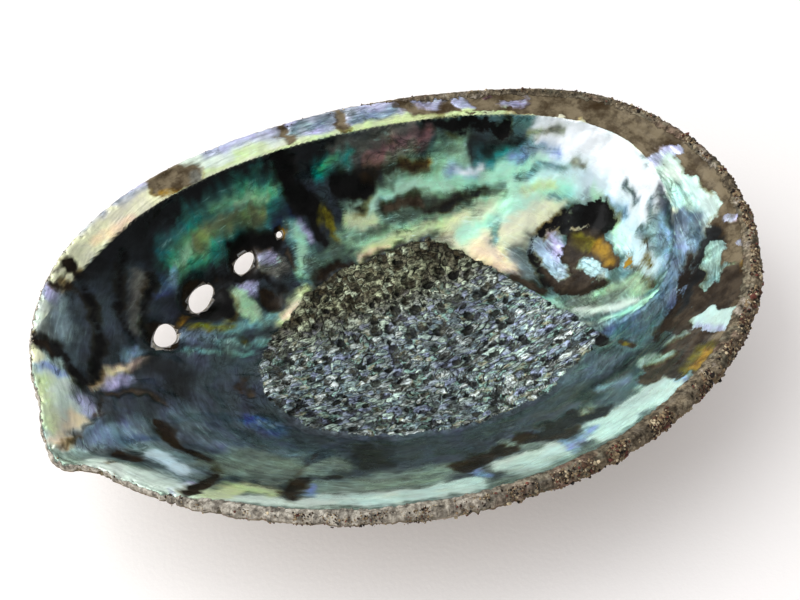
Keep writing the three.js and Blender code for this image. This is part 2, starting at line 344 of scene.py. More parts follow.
RINGS = 138  # rings of the square grid, centre to rim
SIDE = 2 * RINGS + 1  # points along one side of the grid
SHEET = SIDE**2  # points of one sheet
LIP_RINGS = 7
EDGE_RING = 0.72  # the share of the rings that lie inside the shelf's edge
SAMPLES, MARKS = 241, 161  # in each direction: samples of the surface, rows of the ring table
SCAR_EXTRA, EDGE_EXTRA = 0.7, 0.8  # how much closer the rings lie on the scar and at the edge
EDGE_BAND = 2.5  # half width of the closer rings at the shelf's edge
BEND_MARGIN = 2.5  # least distance from the shelf's edge to the lip, for the rings
OUTER_LIMIT = 0.995  # the back's sheet ends just short of the rim


def square_grid():
    """A square grid laid on a disc: each point's ring, from 0 to 1, and direction, from 0 to 1."""
    steps = np.arange(-RINGS, RINGS + 1.0)
    a, b = (part.ravel() for part in np.meshgrid(steps, steps, indexing="ij"))
    ring = np.maximum(abs(a), abs(b))
    wide = abs(a) >= abs(b)
    big, small = np.where(wide, a, b), np.where(wide, b, -a)
    turn = np.where(wide, 0, 0.25) + np.where(big < 0, 0.5, 0)
    turn = turn + 0.125 * small / np.where(big == 0, 1, big)
    return ring / RINGS, np.mod(turn, 1)


def even_angles(turn):
    """Directions that space the rim's points evenly."""
    x, y = RIM_RADIUS * np.cos(TURN), RIM_RADIUS * np.sin(TURN)
    step = np.hypot(np.roll(x, -1) - x, np.roll(y, -1) - y)
    along = np.concatenate([[0], np.cumsum(step)]) / step.sum()
    return np.interp(turn, along, np.radians(np.arange(361)))


def bend_radii():
    """Where each direction crosses the shelf's edge; the rest ease from one end to the other."""
    angle, reach = polar(edge[:, 0], edge[:, 1])
    slot = np.round(np.degrees(angle)).astype(int) % 360
    table = np.zeros(360)
    np.maximum.at(table, slot, reach)
    known = np.flatnonzero(table)
    gap = np.diff(np.append(known, known[0] + 360))
    start = known[gap.argmax()]
    end = start + gap.max()
    for i in range(start + 1, end):
        table[i % 360] = mix(table[start], table[end % 360], smooth(start, end, i))
    missing = np.flatnonzero(table == 0)
    table[missing] = np.interp(missing, np.flatnonzero(table), table[np.flatnonzero(table)])
    return rolling_mean(table, 1)


def on_surface(angle, radius, height):
    x, y = CENTRE[0] + radius * np.cos(angle), CENTRE[1] + radius * np.sin(angle)
    return np.column_stack([x, y, height(x, y)])


def ring_table(limit, height, bend):
    """Radius of the rings by direction and share of the rings, evenly along the surface.

    With a bend, a fixed share of the rings lies inside it, closer on the scar and at the bend.
    """
    r = limit[:, None] * np.linspace(0, 1, SAMPLES)
    x, y, z = on_surface(np.repeat(TURN, SAMPLES), r.ravel(), height).T.reshape(3, 360, -1)
    step = np.hypot(np.diff(r, axis=1), np.diff(z, axis=1))
    if bend is not None:
        middles = [((part[:, 1:] + part[:, :-1]) / 2).ravel() for part in (x, y)]
        step = step * (1 + SCAR_EXTRA * smooth(-1, 1, in_outline(*middles, SCAR).reshape(360, -1)))
        step = step * (1 + EDGE_EXTRA * ridge(r[:, 1:] - bend[:, None], EDGE_BAND))
    along = np.concatenate([np.zeros((360, 1)), np.cumsum(step, axis=1)], axis=1)
    marks = np.linspace(0, 1, MARKS)
    table = np.empty((360, MARKS))
    for k in range(360):
        if bend is None:
            target = marks * along[k, -1]
        else:
            at_bend = np.interp(bend[k], r[k], along[k])
            target = np.interp(marks, [0, EDGE_RING, 1], [0, at_bend, along[k, -1]])
        table[k] = np.interp(target, along[k], r[k])
    if bend is not None:
        table = rolling_mean(table, 3)
        table = table * (limit[:, None] / table[:, -1:])
    return table


def spread(turn_angle, ring, limit, height, bend=None):
    """Radius of each point of the grid, looked up in the table of rings."""
    table = ring_table(limit, height, bend)
    u = np.mod(np.degrees(turn_angle), 360)
    i = np.floor(u).astype(int) % 360
    v = ring * (MARKS - 1)
    j = np.minimum(np.floor(v).astype(int), MARKS - 2)
    s, t = u - np.floor(u), v - j
    near = mix(table[i, j], table[i, j + 1], t)
    return mix(near, mix(table[(i + 1) % 360, j], table[(i + 1) % 360, j + 1], t), s)


def loop_of_rim():
    """Indices of the grid's outermost points, in order round the rim."""
    index = np.arange(SHEET).reshape(SIDE, SIDE)
    sides = index[-1, :-1], index[:0:-1, -1], index[0, :0:-1], index[:-1, 0]
    return np.concatenate(sides)


def make_grids():
    """The points of the inner and outer sheet, and each point's direction and lip thickness."""
    ring, turn = square_grid()
    angle = even_angles(turn)
    lip = section(angle)[2]
    lips = section(TURN)[2]
    bend = np.minimum(bend_radii(), RIM_RADIUS - lips - BEND_MARGIN)
    r_in = spread(angle, ring, RIM_RADIUS - lips, inner_height, bend)
    r_out = spread(angle, ring, RIM_RADIUS * OUTER_LIMIT, outer_height)
    inner = on_surface(angle, r_in, inner_height)
    return inner, on_surface(angle, r_out, outer_height), angle, lip


def make_shell_mesh():
    """The two sheets and the rolled lip between their outermost rings, as one closed mesh."""
    inner, outer, angle, lip = make_grids()
    loop = loop_of_rim()
    start, end = inner[loop], outer[loop]
    out = np.column_stack([np.cos(angle[loop]), np.sin(angle[loop]), np.zeros(len(loop))])
    thick = lip[loop][:, None]
    up = np.array([0, 0, 1.0])
    # The lip's section is a Bezier curve; its two middle points, in thicknesses of the lip
    first = start + out * thick * 0.35 + up * thick * 0.28
    last = start + out * thick * 1.12 + up * thick * 0.12
    rings = []
    for t in np.linspace(0, 1, LIP_RINGS + 2)[1:-1]:
        parts = (1 - t) ** 3, 3 * t * (1 - t) ** 2, 3 * t * t * (1 - t), t**3
        rings.append(parts[0] * start + parts[1] * first + parts[2] * last + parts[3] * end)
    points = np.vstack([inner, outer] + rings)
    i = np.arange(SHEET).reshape(SIDE, SIDE)
    a, b, c, d = i[:-1, :-1].ravel(), i[1:, :-1].ravel(), i[1:, 1:].ravel(), i[:-1, 1:].ravel()
    faces = [np.column_stack([a, b, c, d]), np.column_stack([d, c, b, a]) + SHEET]
    loops = [loop] + [2 * SHEET + k * len(loop) + np.arange(len(loop)) for k in range(LIP_RINGS)]
    loops.append(loop + SHEET)
    for low, high in zip(loops, loops[1:]):
        faces.append(np.column_stack([low, high, np.roll(high, -1), np.roll(low, -1)]))
    mesh = bpy.data.meshes.new("shell")
    mesh.from_pydata(points.tolist(), [], np.vstack(faces).tolist())
    mesh.validate()
    return mesh


def coordinates(mesh):
    co = np.empty(len(mesh.vertices) * 3, np.float32)
    mesh.vertices.foreach_get("co", co)
    return co.reshape(-1, 3).astype(float)


def normals(mesh):
    out = np.empty(len(mesh.vertices) * 3, np.float32)
    mesh.vertex_normals.foreach_get("vector", out)
    return out.reshape(-1, 3).astype(float)


def set_coordinates(mesh, co):
    mesh.vertices.foreach_set("co", co.astype(np.float32).ravel())
    mesh.update()


# ---------------------------------------------------------------- colours laid on the inside

# white is used only for painted highlights; ice, lime, navy and ink also paint highlights and
# shade in a few strokes, noted above their tables.
PALETTE = {
    "ink": "0b0a09", "coal": "16191a", "slate": "2e383e", "storm": "404c54", "steel": "5c6f7a",
    "haze": "718b9b", "fog": "869da1", "navy": "1d2a44", "denim": "3f5f8c", "sky": "90b2da",
    "lilac": "b4b8d6", "rose": "8a6660", "ash": "6d6c62", "mint": "aeeaca", "pale": "d4e4d4",
    "lime": "cbdc9f", "leaf": "a4d0a2", "cream": "e2e3bc", "peach": "ecd6b0", "teal": "31968e",
    "jade": "58c49c", "sea": "6ea39b", "sage": "93aa98", "fern": "506a58", "moss": "7b8a50",
    "olive": "6f6a1c", "amber": "8f6e1e", "umber": "20170c", "bark": "3d3327", "taupe": "6b5f4a",
    "ice": "d3ecf4", "white": "fbfdff", "frost": "bcd8cc", "spring": "a2deb4", "tide": "425c6e",
    "glass": "9ab8c0", "reef": "90b6aa",
}

# One stroke a line: its kind, colour and half width, and the x,y of its points, in millimetres. A
# wash tints the nacre, a stain is the brown or black layer showing through, and a flake is nacre
# with a crisp edge on top of a stain. A few washes are painted highlights and painted shade
# instead, noted above their tables. A later stroke lies over an earlier one.
# Painted highlight: the last two strokes, thin lime lines along the shelf's edge, stand for the
# light caught on that edge.
SHELF_STROKES = """
wash lilac 1.8 -60,47 -50,51.5 -40,55
wash peach 1 -57,42 -47,46
wash pale 4.5 -29,56 -12,58 2,57
wash lilac 2.4 -24,58.5 -14,59 0,58 6,56
wash lime 1.5 -18,54.5 -12,55
wash haze 2.2 -2,56 5,55.4
wash lilac 0.9 -1,54.6 5,54
wash lilac 4 10,55 22,53
wash haze 1.6 12,53.4 20,52
stain taupe 3.2 -38,53 -31,53
stain amber 0.6 -38,49.6 -34,49.6
stain ash 1.2 -29.5,51.8
stain taupe 1.4 -7.5,59.5 -4.8,56 -4.6,53.4
stain taupe 1 8.4,58.5 8.8,51
stain taupe 1.9 23.5,57 26,50.5
stain taupe 6.5 30,54 44,49 56,43.5 67,35 75,23 79.5,8 79.5,-6 \
    75.5,-19 68,-31 60,-38 50,-43
stain taupe 4.5 65,34 71,24 73,18
flake lilac 0.8 27.5,53.5 28.3,51.2 31,50.4 33.2,51.4 33.4,53
flake lilac 1.5 37,49.5 38.5,46.5
flake rose 0.6 43.5,47.5
flake lilac 1.2 46.6,43.8 52,42.4
flake lilac 2.1 71.5,14 74,12.4
flake lilac 0.8 74,13 77.5,12
flake frost 2.8 73,8.6 73.6,4 74.2,-2 73.6,-7
flake reef 1.6 71,8 71,1 71.6,-4
wash pale 1.6 72,8.6 74,6
flake lilac 0.8 76,-11 77,-13
flake lilac 0.9 74,-19 75,-21.5
flake mint 1.3 70.5,-16 66.5,-19 65,-23
flake mint 1.4 63.5,-23.5 69,-24
flake mint 0.9 66.5,-24 67,-28
stain amber 1.2 69.5,-27 72,-26
wash lime 0.7 -36,50.4 -16,53.2 9,52 33,46.9 46,42.2
flake lime 0.3 9,51.8 22,49.7 33,46.7 46,42
"""

LEFT_STROKES = """
wash storm 5 -67,28 -69,16
wash fog 2.4 -71,30 -71.5,22
wash pale 2.6 -74.5,31 -77.5,23
wash lilac 1.2 -70.5,32 -72,30
wash storm 2.4 -60,30 -60,22
wash frost 4.2 -79,12 -79,0 -80,-8
wash pale 2.8 -77.5,9 -77,2 -79,-3
wash lime 1.7 -79.6,9 -80.4,1 -81.4,-4
wash sky 1.2 -78.5,12.5 -75.5,11
wash lilac 1.8 -73.5,4.5 -72.5,1.5
wash peach 1.8 -76,-1 -78.5,-5 -81,-8
wash haze 3 -76,-7 -69,-5.5 -64,-4
wash sky 1.2 -60,17.5 -57,19.5
wash peach 0.9 -69.5,8.5 -64,13.5 -56,17
wash lilac 1.3 -66.5,9.5 -61,12
stain bark 0.3 -83,-10 -77,-6 -70.5,1 -68.5,6
stain ink 1.1 -63.5,38 -63,30 -63.8,23 -66,16 -69.5,9.5
stain umber 1.9 -64.5,37.5 -68,35.5
stain umber 1.1 -70,33.5 -66,33
flake cream 1 -69.5,35 -67,36
stain umber 1.7 -77.5,18.5 -74.5,16
stain ink 1.2 -74,17.5 -72.5,13 -71.5,8.5
flake cream 0.8 -79,16.5 -78.8,14.5
wash ash 1.4 -49.5,36 -52.5,32 -55,25
stain ink 0.9 -51,40 -55.5,35 -57.5,29 -57,22.5
stain ink 0.8 -47,36.5 -50.5,31.5 -52.5,26.5 -53.5,20.5
stain bark 0.7 -67,6.5 -62,7.8 -58.5,6 -55.5,3.6
wash coal 3.4 -54,16 -50,12 -51,7
"""

# The first wash, ink just under the shelf's edge, is partly a dark layer of the shell and partly
# painted shade under the overhanging edge.
WALL_STROKES = """
wash ink 2.4 -62,36.5 -54,41 -43,46 -30,49.8 -14,51.4 6,51
wash coal 2.6 -50,41 -44,41
wash teal 3.2 -40,40 -33,43.5 -26,46 -12,47
wash jade 1.8 -41,38.5 -36,41.5 -30,43
wash sky 0.8 -43,36 -41,38
wash spring 0.8 -40,39.4 -36,41.8 -31,43
wash spring 0.4 -26,47.6 -19,48.6 -12,48.6
wash moss 1.2 -34,43 -26,45.4 -16,46.4
wash jade 0.8 -28,47 -20,48.4 -12,48.6
wash leaf 0.5 -22,47.6 -14,48.2
wash teal 1.2 -30,41.5 -22,43.6
wash denim 1.3 -47,34 -44,36
wash navy 1.6 -14,44.5 -9,45.8
stain ink 2.2 -8.5,51 -6.5,46.5 -3.8,45
stain ink 1.4 -3.6,45 -3.9,41 -3.6,38.5
stain olive 1.3 -0.6,43 0.6,38.6
stain umber 1.2 -8,32 -3,33.4 1,32.6
"""

PORE_STROKES = """
wash coal 5 -40,30 -30,36 -20,40
wash sea 1.9 -10.5,42 -8.5,38 -11.5,34
wash lilac 0.8 -8,42.6 -6.6,40.4
wash spring 1.1 -9,42 -9,38 -12,34.4
wash fern 2.2 -8,35 -2,36
wash storm 5 -43,18 -34,12 -44,6
wash haze 1.3 -45,24 -37,22.5
wash sea 1.5 -36,24.6 -28,25 -22,26
wash sea 0.6 -46,19.5 -38,18.5 -32,17.2
wash sea 1 -37,20.8 -26,19.8
wash lime 1.3 -21.5,23.5 -16,27.5 -12,30
wash peach 0.8 -20,25 -17,26.5
wash olive 0.8 -42,26 -37,24.8 -33,25.8 -30.6,28.5
stain ink 2.6 -37,29.6 -33,32 -32.4,29
stain amber 0.6 -45.2,26.8 -42.5,28.8
stain umber 0.5 -33.5,35.6 -31,36.4
stain ink 1.4 -26,42.4 -20,43 -15,41.2
stain ink 1 -30.5,37.6 -25,36.4 -20,34.6 -17,31.5
flake ash 1.5 -19.5,38.6 -16.5,37
flake lilac 0.5 -19.5,39.6 -17,38.6
stain bark 0.7 -13,39.5 -13.2,36
stain amber 0.4 -12.4,42.6 -11.4,42.8
stain umber 2.7 -21.4,30
flake leaf 1.6 -28.5,32 -27,28
flake lilac 1 -26.5,34.2 -25,33.4
stain olive 0.7 -31.5,20.8
stain bark 0.9 -36,9.6 -38.4,8 -38,5.4 -35.6,4.4
"""

FRONT_STROKES = """
wash storm 9 -46,-6 -34,-16 -20,-26 0,-31 20,-31
wash steel 4 -53,-1 -48,-10 -38,-17
wash denim 2.2 -38.4,-4 -35,-7
wash haze 0.4 -38,-3.6 -35.5,-5.6
wash haze 0.8 -42,-18.6 -37,-17.6 -32,-18.6
wash fog 5 -63,-11 -59,-19 -60,-24
wash ice 2.4 -64,-14 -60,-21
wash pale 2.8 -76,-17 -70,-22 -65,-27
wash lilac 0.9 -64,-29.4 -60,-27.4
wash tide 1.3 -68,-8.6 -62,-7.4
stain umber 1.7 -59.4,-3 -58.5,-8.5 -55,-14 -51.8,-19.5 -55,-25.5 -61,-30.4
stain umber 1.7 -70.5,-12.4 -67.5,-15.6
stain umber 0.5 -73.2,-16.4
wash sage 6 -48,-20 -40,-24
wash pale 2.6 -62,-30 -52,-36 -42,-41 -30,-46 -12,-50.5
wash lime 2.6 -58,-32 -50,-31 -46,-33.5
wash sage 3.2 -33,-26 -28,-26
wash coal 4.2 -21,-28 -20,-22
wash sage 4.6 -34,-37 -22,-39 -12,-41
wash pale 2.3 -38,-40.5 -30,-43.5 -20,-47 -9,-49.5
wash cream 1.9 -24,-48.4 -12,-51
wash frost 1.5 -34,-45 -22,-50 -8,-52.8
wash frost 1.6 -8,-48 -7,-52
wash pale 3.6 1,-47 11,-47
wash frost 3.8 1.5,-50.2 11,-50.2
wash sky 0.8 -39.4,-38.6 -37.4,-34.4
wash sky 0.9 -5.2,-50.5 -5.2,-45
stain ink 0.3 -3.3,-44.5 -3.1,-50
wash sky 1.3 13.8,-53 15,-47
stain bark 0.5 -31,-20.5 -35,-24 -37.5,-28.5
stain umber 1.7 -37.5,-30.5 -41,-34 -43.5,-38
stain coal 0.8 -36,-29.8 -30,-32
stain umber 3 -5,-40.8 0,-40.2 5,-39
stain umber 2.6 9,-37.4 14,-40.6 17,-44
stain coal 3.2 17,-38.6 23,-38.6 26.5,-41
flake sage 1.1 6.8,-37.4
flake sage 1 8.6,-41.2 9,-44
flake sage 1.2 25.4,-38
wash storm 4 26,-27 38,-25
wash steel 3 30,-23 38,-26
wash coal 3 28,-33 40,-31 50,-30
wash haze 1.5 33,-33.6 36,-34.6
stain bark 3.8 42,-39 50,-36 61,-30.5 67,-27
stain bark 3 44,-43 50,-41
stain olive 1.5 46,-44 52,-41.4
stain amber 0.9 47,-44.6 50.4,-42.6
wash frost 1.8 20,-51.6 30,-49.6 41,-46.4
flake frost 3.8 22,-49 29,-47 38,-45.2
wash frost 2.2 -22,-47.5 -9,-49.5
wash frost 1.6 -37.5,-40.5 -28,-43.5
wash sky 0.8 41.8,-42.6 42,-47.4
wash sky 1 17,-49 21,-46.4
flake sage 1.6 43.5,-33.5 46.5,-36
flake sage 0.9 50.5,-32.2 52.5,-32.4
flake frost 3 57.6,-33 59,-36 60.4,-38.4
wash lilac 1.3 55.4,-33 56.6,-38
"""

HOOK_STROKES = """
wash tide 4 68,-7 66.4,-12 62,-17 54,-20 46,-21
stain coal 2.4 71.4,-13 66,-18 60,-23 53,-27
stain bark 3.4 66,-24 60,-28 54,-30
flake tide 2.5 68.4,-4 67.4,-9 64,-14 56,-19 48,-20.6 45,-18
wash haze 1.2 67.6,-7 66,-11
wash steel 1.5 60,-18.6 50,-20
stain umber 0.8 66,-14 60,-19 54,-25 48,-28
stain bark 1 43.4,-22 44.4,-24.6
stain olive 0.4 43.8,-23
stain ink 1.8 36,-10 39.5,-14 41,-18
flake reef 1.7 70.4,-16 66.8,-19 66,-24
flake reef 1.8 64.4,-23.6 68.6,-23.2
flake reef 1.2 66.5,-24 67,-28
wash sea 0.9 64.4,-22 66,-27
"""

# Painted highlight: the ice and white washes down the right wall, x 51 to 68, stand for the bright
# window's reflection there.
# Painted highlight: the small ice and white washes on the bump at x 31 to 39, y 38 to 40, are its
# glint.
# Painted shadow: the navy wash along the foot of the shelf's edge on the right wall, x 61 to 69,
# is the shade under that edge.
SPIRE_STROKES = """
wash ash 1.2 4,49.6 14,49.4 24,47.6
wash rose 1 12,47.6 20,47 28,45.6
wash spring 4.6 6,38 20,40 34,38 44,33
wash mint 1.3 6,42 14,42 26,40 36,37.4
wash teal 0.9 -1,48.8 8,49
wash jade 0.3 0,49 5,49.2
wash lime 1.2 4,41 10,39.4
wash fern 0.9 4,37.8 14,37.4 20,36.4
stain ink 2 3.6,46 7.4,45.2 11,45.4
stain umber 0.8 6,42.6 8,42.2
stain umber 0.6 11,46 18,45 25,43
wash amber 0.7 20,44.6 26,43
stain ink 0.9 27,47 34,44.6 41,41.8 46,39.4
wash slate 1.8 38,41 44,38 48,35.6
wash sky 1 31,40.4 39,37.8
wash ice 0.7 32.6,39.8 38,38.2
wash umber 1.5 13,40 18,39.6 23,38 30,36
stain bark 1 14,40 18,39.8 22,38.4
wash fern 1.1 14,37.6 24,36.4
wash umber 1.3 22,36.6 30,35.4 38,33.8 42,31.6
stain coal 0.5 24,36.2 31,35 38,33.6
wash lime 1.2 4,33.4 14,34 24,32.6 32,31.6
wash peach 0.4 3,33 11,33.2
stain umber 0.7 2,31.8 10,32.2 18,31
stain umber 0.4 22.4,31.2 26,31
wash cream 5 29,27 38,26 47,24
wash mint 4 44,30 54,27
wash peach 3 31,23 35,17
wash cream 2.2 40,26 46,24 52,23.4
wash mint 1.6 28,29 36,28 44,28.4
wash sea 0.8 35.5,27.5 38,27 34.8,23
wash sea 0.8 51,25.6 57,23
wash fog 1.8 38.5,18 39.6,13
wash mint 1.6 37.5,5 40,1 42,-3
stain bark 1.3 34.5,13 37.6,9.6 40,6.4
wash mint 1.8 44,31 52,28.6 57,24.6
wash lime 0.7 46,29.6 53,27
wash ice 3 51,33.2 53,32 59,27 63,20 64,11 63,3 60,-8
wash white 2.8 54,34.6 61,30 65.6,23 67.6,14 67,6
wash sky 1 66.4,2 64,-6 60.4,-11
wash mint 1.3 38,36.4 46,34.6 52,31.4
wash teal 1.1 38,39.2 46,36.6 51,34.2
wash coal 0.8 37,41 44,38.6 50,36
wash white 0.5 33.6,39.4 38.6,38
wash sky 0.7 45,36 52,33.6 56,30.6
wash sea 0.6 45,32.6 52,30.6 57,27.6
wash navy 0.7 68.8,7 67.8,-1 65.4,-7 61.4,-12
wash haze 0.9 64,5 62.4,-6
wash steel 0.7 66.6,7 66,2 64.4,-4
wash sky 0.8 62,18 63.4,11
wash haze 0.6 66,15 65.8,10
wash spring 0.9 60.4,21 61.6,14 60.4,6
stain bark 0.3 62.6,1 61.8,-3
wash moss 0.5 51,36 55,34.4 57.4,33
wash moss 0.6 58.6,27 60.4,25
stain amber 0.7 59.4,2 58.6,0.4
stain amber 0.3 59,-1 58.4,-5
stain olive 0.4 61,-3.6 60,-7
stain bark 0.5 57.4,-8 57,-13.4
wash sage 5 46,-3 53,-6
wash leaf 1.6 50,-3 56,-6 55,-12
wash pale 1.5 42.4,-4 47,-9 52,-13.4
wash mint 0.9 45,-12 50,-15.4 56,-16.4
stain bark 4.6 46,12.4 47.6,6.4 53,6 53.6,12.6
stain ink 0.8 42,8 41.6,15 42.4,19 48,20.6 54,20.8
stain ink 2.2 56.4,18.6 59.8,16.6 60,13
stain coal 1.4 52,18.6 55.4,19
stain bark 1.6 56,13 57.4,8 56.6,3.4
stain amber 0.8 55.4,12 57,8 56.6,4.6
stain olive 1.3 53.4,14.4 54.8,12
stain umber 1.1 43.4,4 48,1.2 52.4,0.4
flake glass 1.9 44.6,17.6 45.2,13.6 46.8,9.4
flake lilac 0.9 48.6,18.6 48,14.6
flake glass 1.7 51.6,8.8 52.6,6 53.6,3.4
flake cream 0.3 53.6,17.8 57,16
stain umber 0.4 47.6,14 48.4,8 47.4,4
"""

# Each group with the side of the shelf's edge that it lies on: 1 shelf, -1 bowl, 0 both
STROKE_GROUPS = [
    (SHELF_STROKES, 1), (LEFT_STROKES, 0), (WALL_STROKES, -1), (PORE_STROKES, -1),
    (SPIRE_STROKES, -1), (HOOK_STROKES, 1), (FRONT_STROKES, 0),
]


def read_strokes(text):
    """Gives each stroke of a table as its kind, colour, half width and list of points."""
    for line in text.strip().splitlines():
        kind, colour, width, *places = line.split()
        points = [tuple(float(value) for value in place.split(",")) for place in places]
        yield kind, colour, float(width), points


def ground_colours(x, y, on_shelf):
    """The nacre before any stroke: dark to the growing end, partly its own tone and partly painted
    shade, pale on the shelf and by the lip.
    """
    # Partly painted shade: darker to the growing end, which faces the dim side of the room, and
    # lighter towards the spire.
    dark = mix(linear(PALETTE["slate"]), linear(PALETTE["storm"]), smooth(20, -20, y)[:, None])
    base = mix(dark, linear(PALETTE["sea"]), smooth(15, 60, x)[:, None] * 0.5)
    lip = smooth(0.86, 0.97, share_of_radius(x, y, 0)) * smooth(30, -20, y)
    base = mix(base, linear(PALETTE["sage"]), (lip * 0.8)[:, None])
    pale = on_shelf * smooth(-14, -4, y)
    return mix(base, linear(PALETTE["cream"]), pale[:, None])


def feathered(x, y):
    """Shifts (x, y) so that edges wander, and fray along the growth lines."""
    angle = polar(x, y)[0]
    lines = share_of_radius(x, y, 0) * 60
    fray = 1.1 * fbm(lines + 4 * np.cos(angle), 4 * np.sin(angle) + lines / 9, 16, 2)
    wx = x + 1.3 * fbm(x / 6, y / 6, 11) + 0.5 * fbm(x / 1.8, y / 1.8, 12, 2)
    wy = y + 1.3 * fbm(x / 6, y / 6, 13) + 0.5 * fbm(x / 1.8, y / 1.8, 14, 2)
    return wx - fray * np.sin(angle), wy + fray * np.cos(angle)


def lay_strokes(x, y, on_shelf):
    """Nacre colour with its painted highlights and shade, stain colour and stain edge (over 0.5
    inside a stain) at each point.
    """
    wx, wy = feathered(x, y)
    swell = 1 + 0.5 * fbm(x / 4, y / 4, 15, 2)
    tint = ground_colours(x, y, on_shelf)
    stain = np.tile(linear(PALETTE["umber"]), (len(x), 1))
    edge_of_stain = np.zeros(len(x))
    for strokes, side in STROKE_GROUPS:
        there = {1: on_shelf, -1: 1 - on_shelf, 0: np.ones(len(x))}[side]
        for kind, name, width, points in read_strokes(strokes):
            d = to_line(wx, wy, points)
            colour = linear(PALETTE[name])
            if kind == "wash":
                soft = 0.5 * width + 0.4
                cover = there * (1 - smooth(width - soft, width + soft, d / swell))
                tint = mix(tint, colour, 0.9 * cover[:, None])
                edge_of_stain = edge_of_stain * (1 - 0.6 * cover * (width > 3))
                continue
            level = 0.5 + (width * swell - d) / 4.0
            if kind == "stain":
                cover = there * smooth(0.2, 0.6, level)
                stain = mix(stain, colour, cover[:, None])
                deep = np.maximum(edge_of_stain, np.clip(level, 0, 1))
            else:
                cover = there * smooth(0.1, 0.5, level)
                tint = mix(tint, colour, cover[:, None])
                deep = np.minimum(edge_of_stain, np.clip(1 - level, 0, 1))
            edge_of_stain = mix(edge_of_stain, deep, there)
    return tint, stain, edge_of_stain


# ---------------------------------------------------------------- relief, mm along the normal

# Bumps and dents of the nacre: place, radius, height
BUMPS = [
    ((36, 38.6), 2.3, 0.9), ((-28, 31.6), 2.6, 0.7), ((-21.6, 29.9), 2.6, -1.0),
    ((-17.5, 33), 1.6, 0.4),
]
CREASE = [(-83, -10), (-75, -4.6), (-69, 0), (-66, 8), (-61, 14.5), (-54, 18.5)]
HOOK_RIDGE = [(62, -11.5), (55, -16), (49, -15.5), (44, -12)]
OLD_PORES = [(-1.5, 43.5), (12, 43), (26, 40), (38, 34), (47, 26)]  # closed ones, to the spire


def growth(x, y):
    """Age and place along the lip: 0 at the spire to 1 at the rim, and the direction."""
    angle, reach = polar(x, y, APEX["at"])
    return reach / rim_reach(angle, APEX["at"]), angle


def scar_grain(x, y):
    """The scar's flakes, drawn out along the shell towards the lip, and its round pits.

    Gives the depth inside a pit (mm, positive inside), the gap between flakes and a number for
    each flake.
    """
    drawn = smooth(20, -4, y)
    wx, wy = x + 0.6 * fbm(x / 3, y / 3, 21), y + 0.6 * fbm(x / 3, y / 3, 22)
    first, second, who = cells(wx / mix(1.9, 3.1, drawn), wy / mix(1.5, 1.4, drawn), 5)
    far, pick = cells(wx / mix(2.9, 2.6, drawn), wy / mix(2.7, 1.8, drawn), 6)[::2]
    far = far + 0.16 * fbm(x / 0.9, y / 0.7, 23, 2)
    inside = 2.6 * (mix(0.16, 0.5, smooth(0.35, 1.0, pick)) - far)
    pit = np.where(pick > mix(0.35, 0.5, drawn), inside, -1.0)
    return np.maximum(pit, -1), second - first, who


def pore_distance(x, y, pore, grow=0.0):
    """1 on the pore's outline, less inside it."""
    px, py, length, width = pore
    u = (x - px) * math.cos(PORE_ROW) + (y - py) * math.sin(PORE_ROW)
    v = (y - py) * math.cos(PORE_ROW) - (x - px) * math.sin(PORE_ROW)
    return np.hypot(u / (length / 2 + grow), v / (width / 2 + grow))


def inner_relief(x, y, stain, scar):
    """The rough scar, growth ridges, sunken stains, bumps and dimpled pores of the nacre."""
    grown, direction = growth(x, y)
    wild = smooth(0.25, 0.6, scar)
    pit, gap, who = scar_grain(x, y)
    grain = 0.55 * (who - 0.5) * smooth(0.0, 0.3, gap) + 0.3 * np.minimum(gap - 0.25, 0.3)
    grain = grain - 0.75 * smooth(-0.1, 0.35, pit) + 0.2 * fbm(x / 0.9, y / 0.6, 31, 3)
    z = wild * (SCAR_HEIGHT + grain + 0.25 * fbm(x / 4, y / 3, 37, 2))
    calm = 1 - wild
    anterior = smooth(-10, -60, x)
    z = z + calm * (0.15 + 0.35 * anterior) * noise(grown * 16, direction * 2.5, 32)
    z = z + calm * 0.12 * fbm(grown * 70, direction * 5, 33, 3)
    z = z + calm * 0.35 * fbm(x / 9, y / 7, 34)
    wall = smooth(24, 34, y) * smooth(-20, 0, x)
    z = z + calm * wall * 0.35 * fbm(x / 8 + y / 9, (y + 0.3 * x) / 2.4, 35)
    z = z - 0.22 * smooth(0.42, 0.58, stain) * calm
    for at, radius, height in BUMPS:
        z = z + height * hump(x, y, at, radius)
    z = z + 0.55 * ridge(to_line(x, y, CREASE), 0.9)
    for pore in PORES:
        near = pore_distance(x, y, pore)
        z = z - 0.28 * pore[3] * ridge(near, 1.5) + 0.3 * ridge(near - 2.0, 0.4)
    hook = 0.35 * ridge(to_line(x, y, HOOK_RIDGE), 1.1)
    return z + hook * (1 + 1.5 * fbm(x / 0.9, y / 0.9, 36, 2))


def outer_relief(x, y):
    """Growth ridges and ribs, knobs, raised rims round the pores and the spire's seam."""
    grown, direction = growth(x, y)
    z = 0.75 * noise(grown * 13, direction * 1.5, 41) + 0.5 * fbm(grown * 45, direction * 4, 42)
    z = z + 0.35 * noise(direction * 17 + 5 * grown, grown * 5, 43)
    z = z + 0.3 * fbm(x / 3, y / 3, 44) + 0.3 * smooth(0.1, 0.5, fbm(x / 8, y / 8, 45))
    first, who = cells(x / 3.1, y / 3.1, 46)[::2]
    z = z + 0.5 * smooth(0.72, 0.8, who) * smooth(0.42, 0.25, first)
    for pore in PORES:
        near = pore_distance(x, y, pore)
        z = z + ridge(near - 1.5, 0.45)
    whorl = polar(x, y, APEX["at"])[1]
    turn = np.mod(direction / FULL_TURN - np.log(np.maximum(whorl, 0.3)) / 1.35, 1)
    suture = ridge(np.minimum(turn, 1 - turn), 0.07) * smooth(1, 5, whorl)
    return z - 1.3 * suture * smooth(26, 14, whorl)


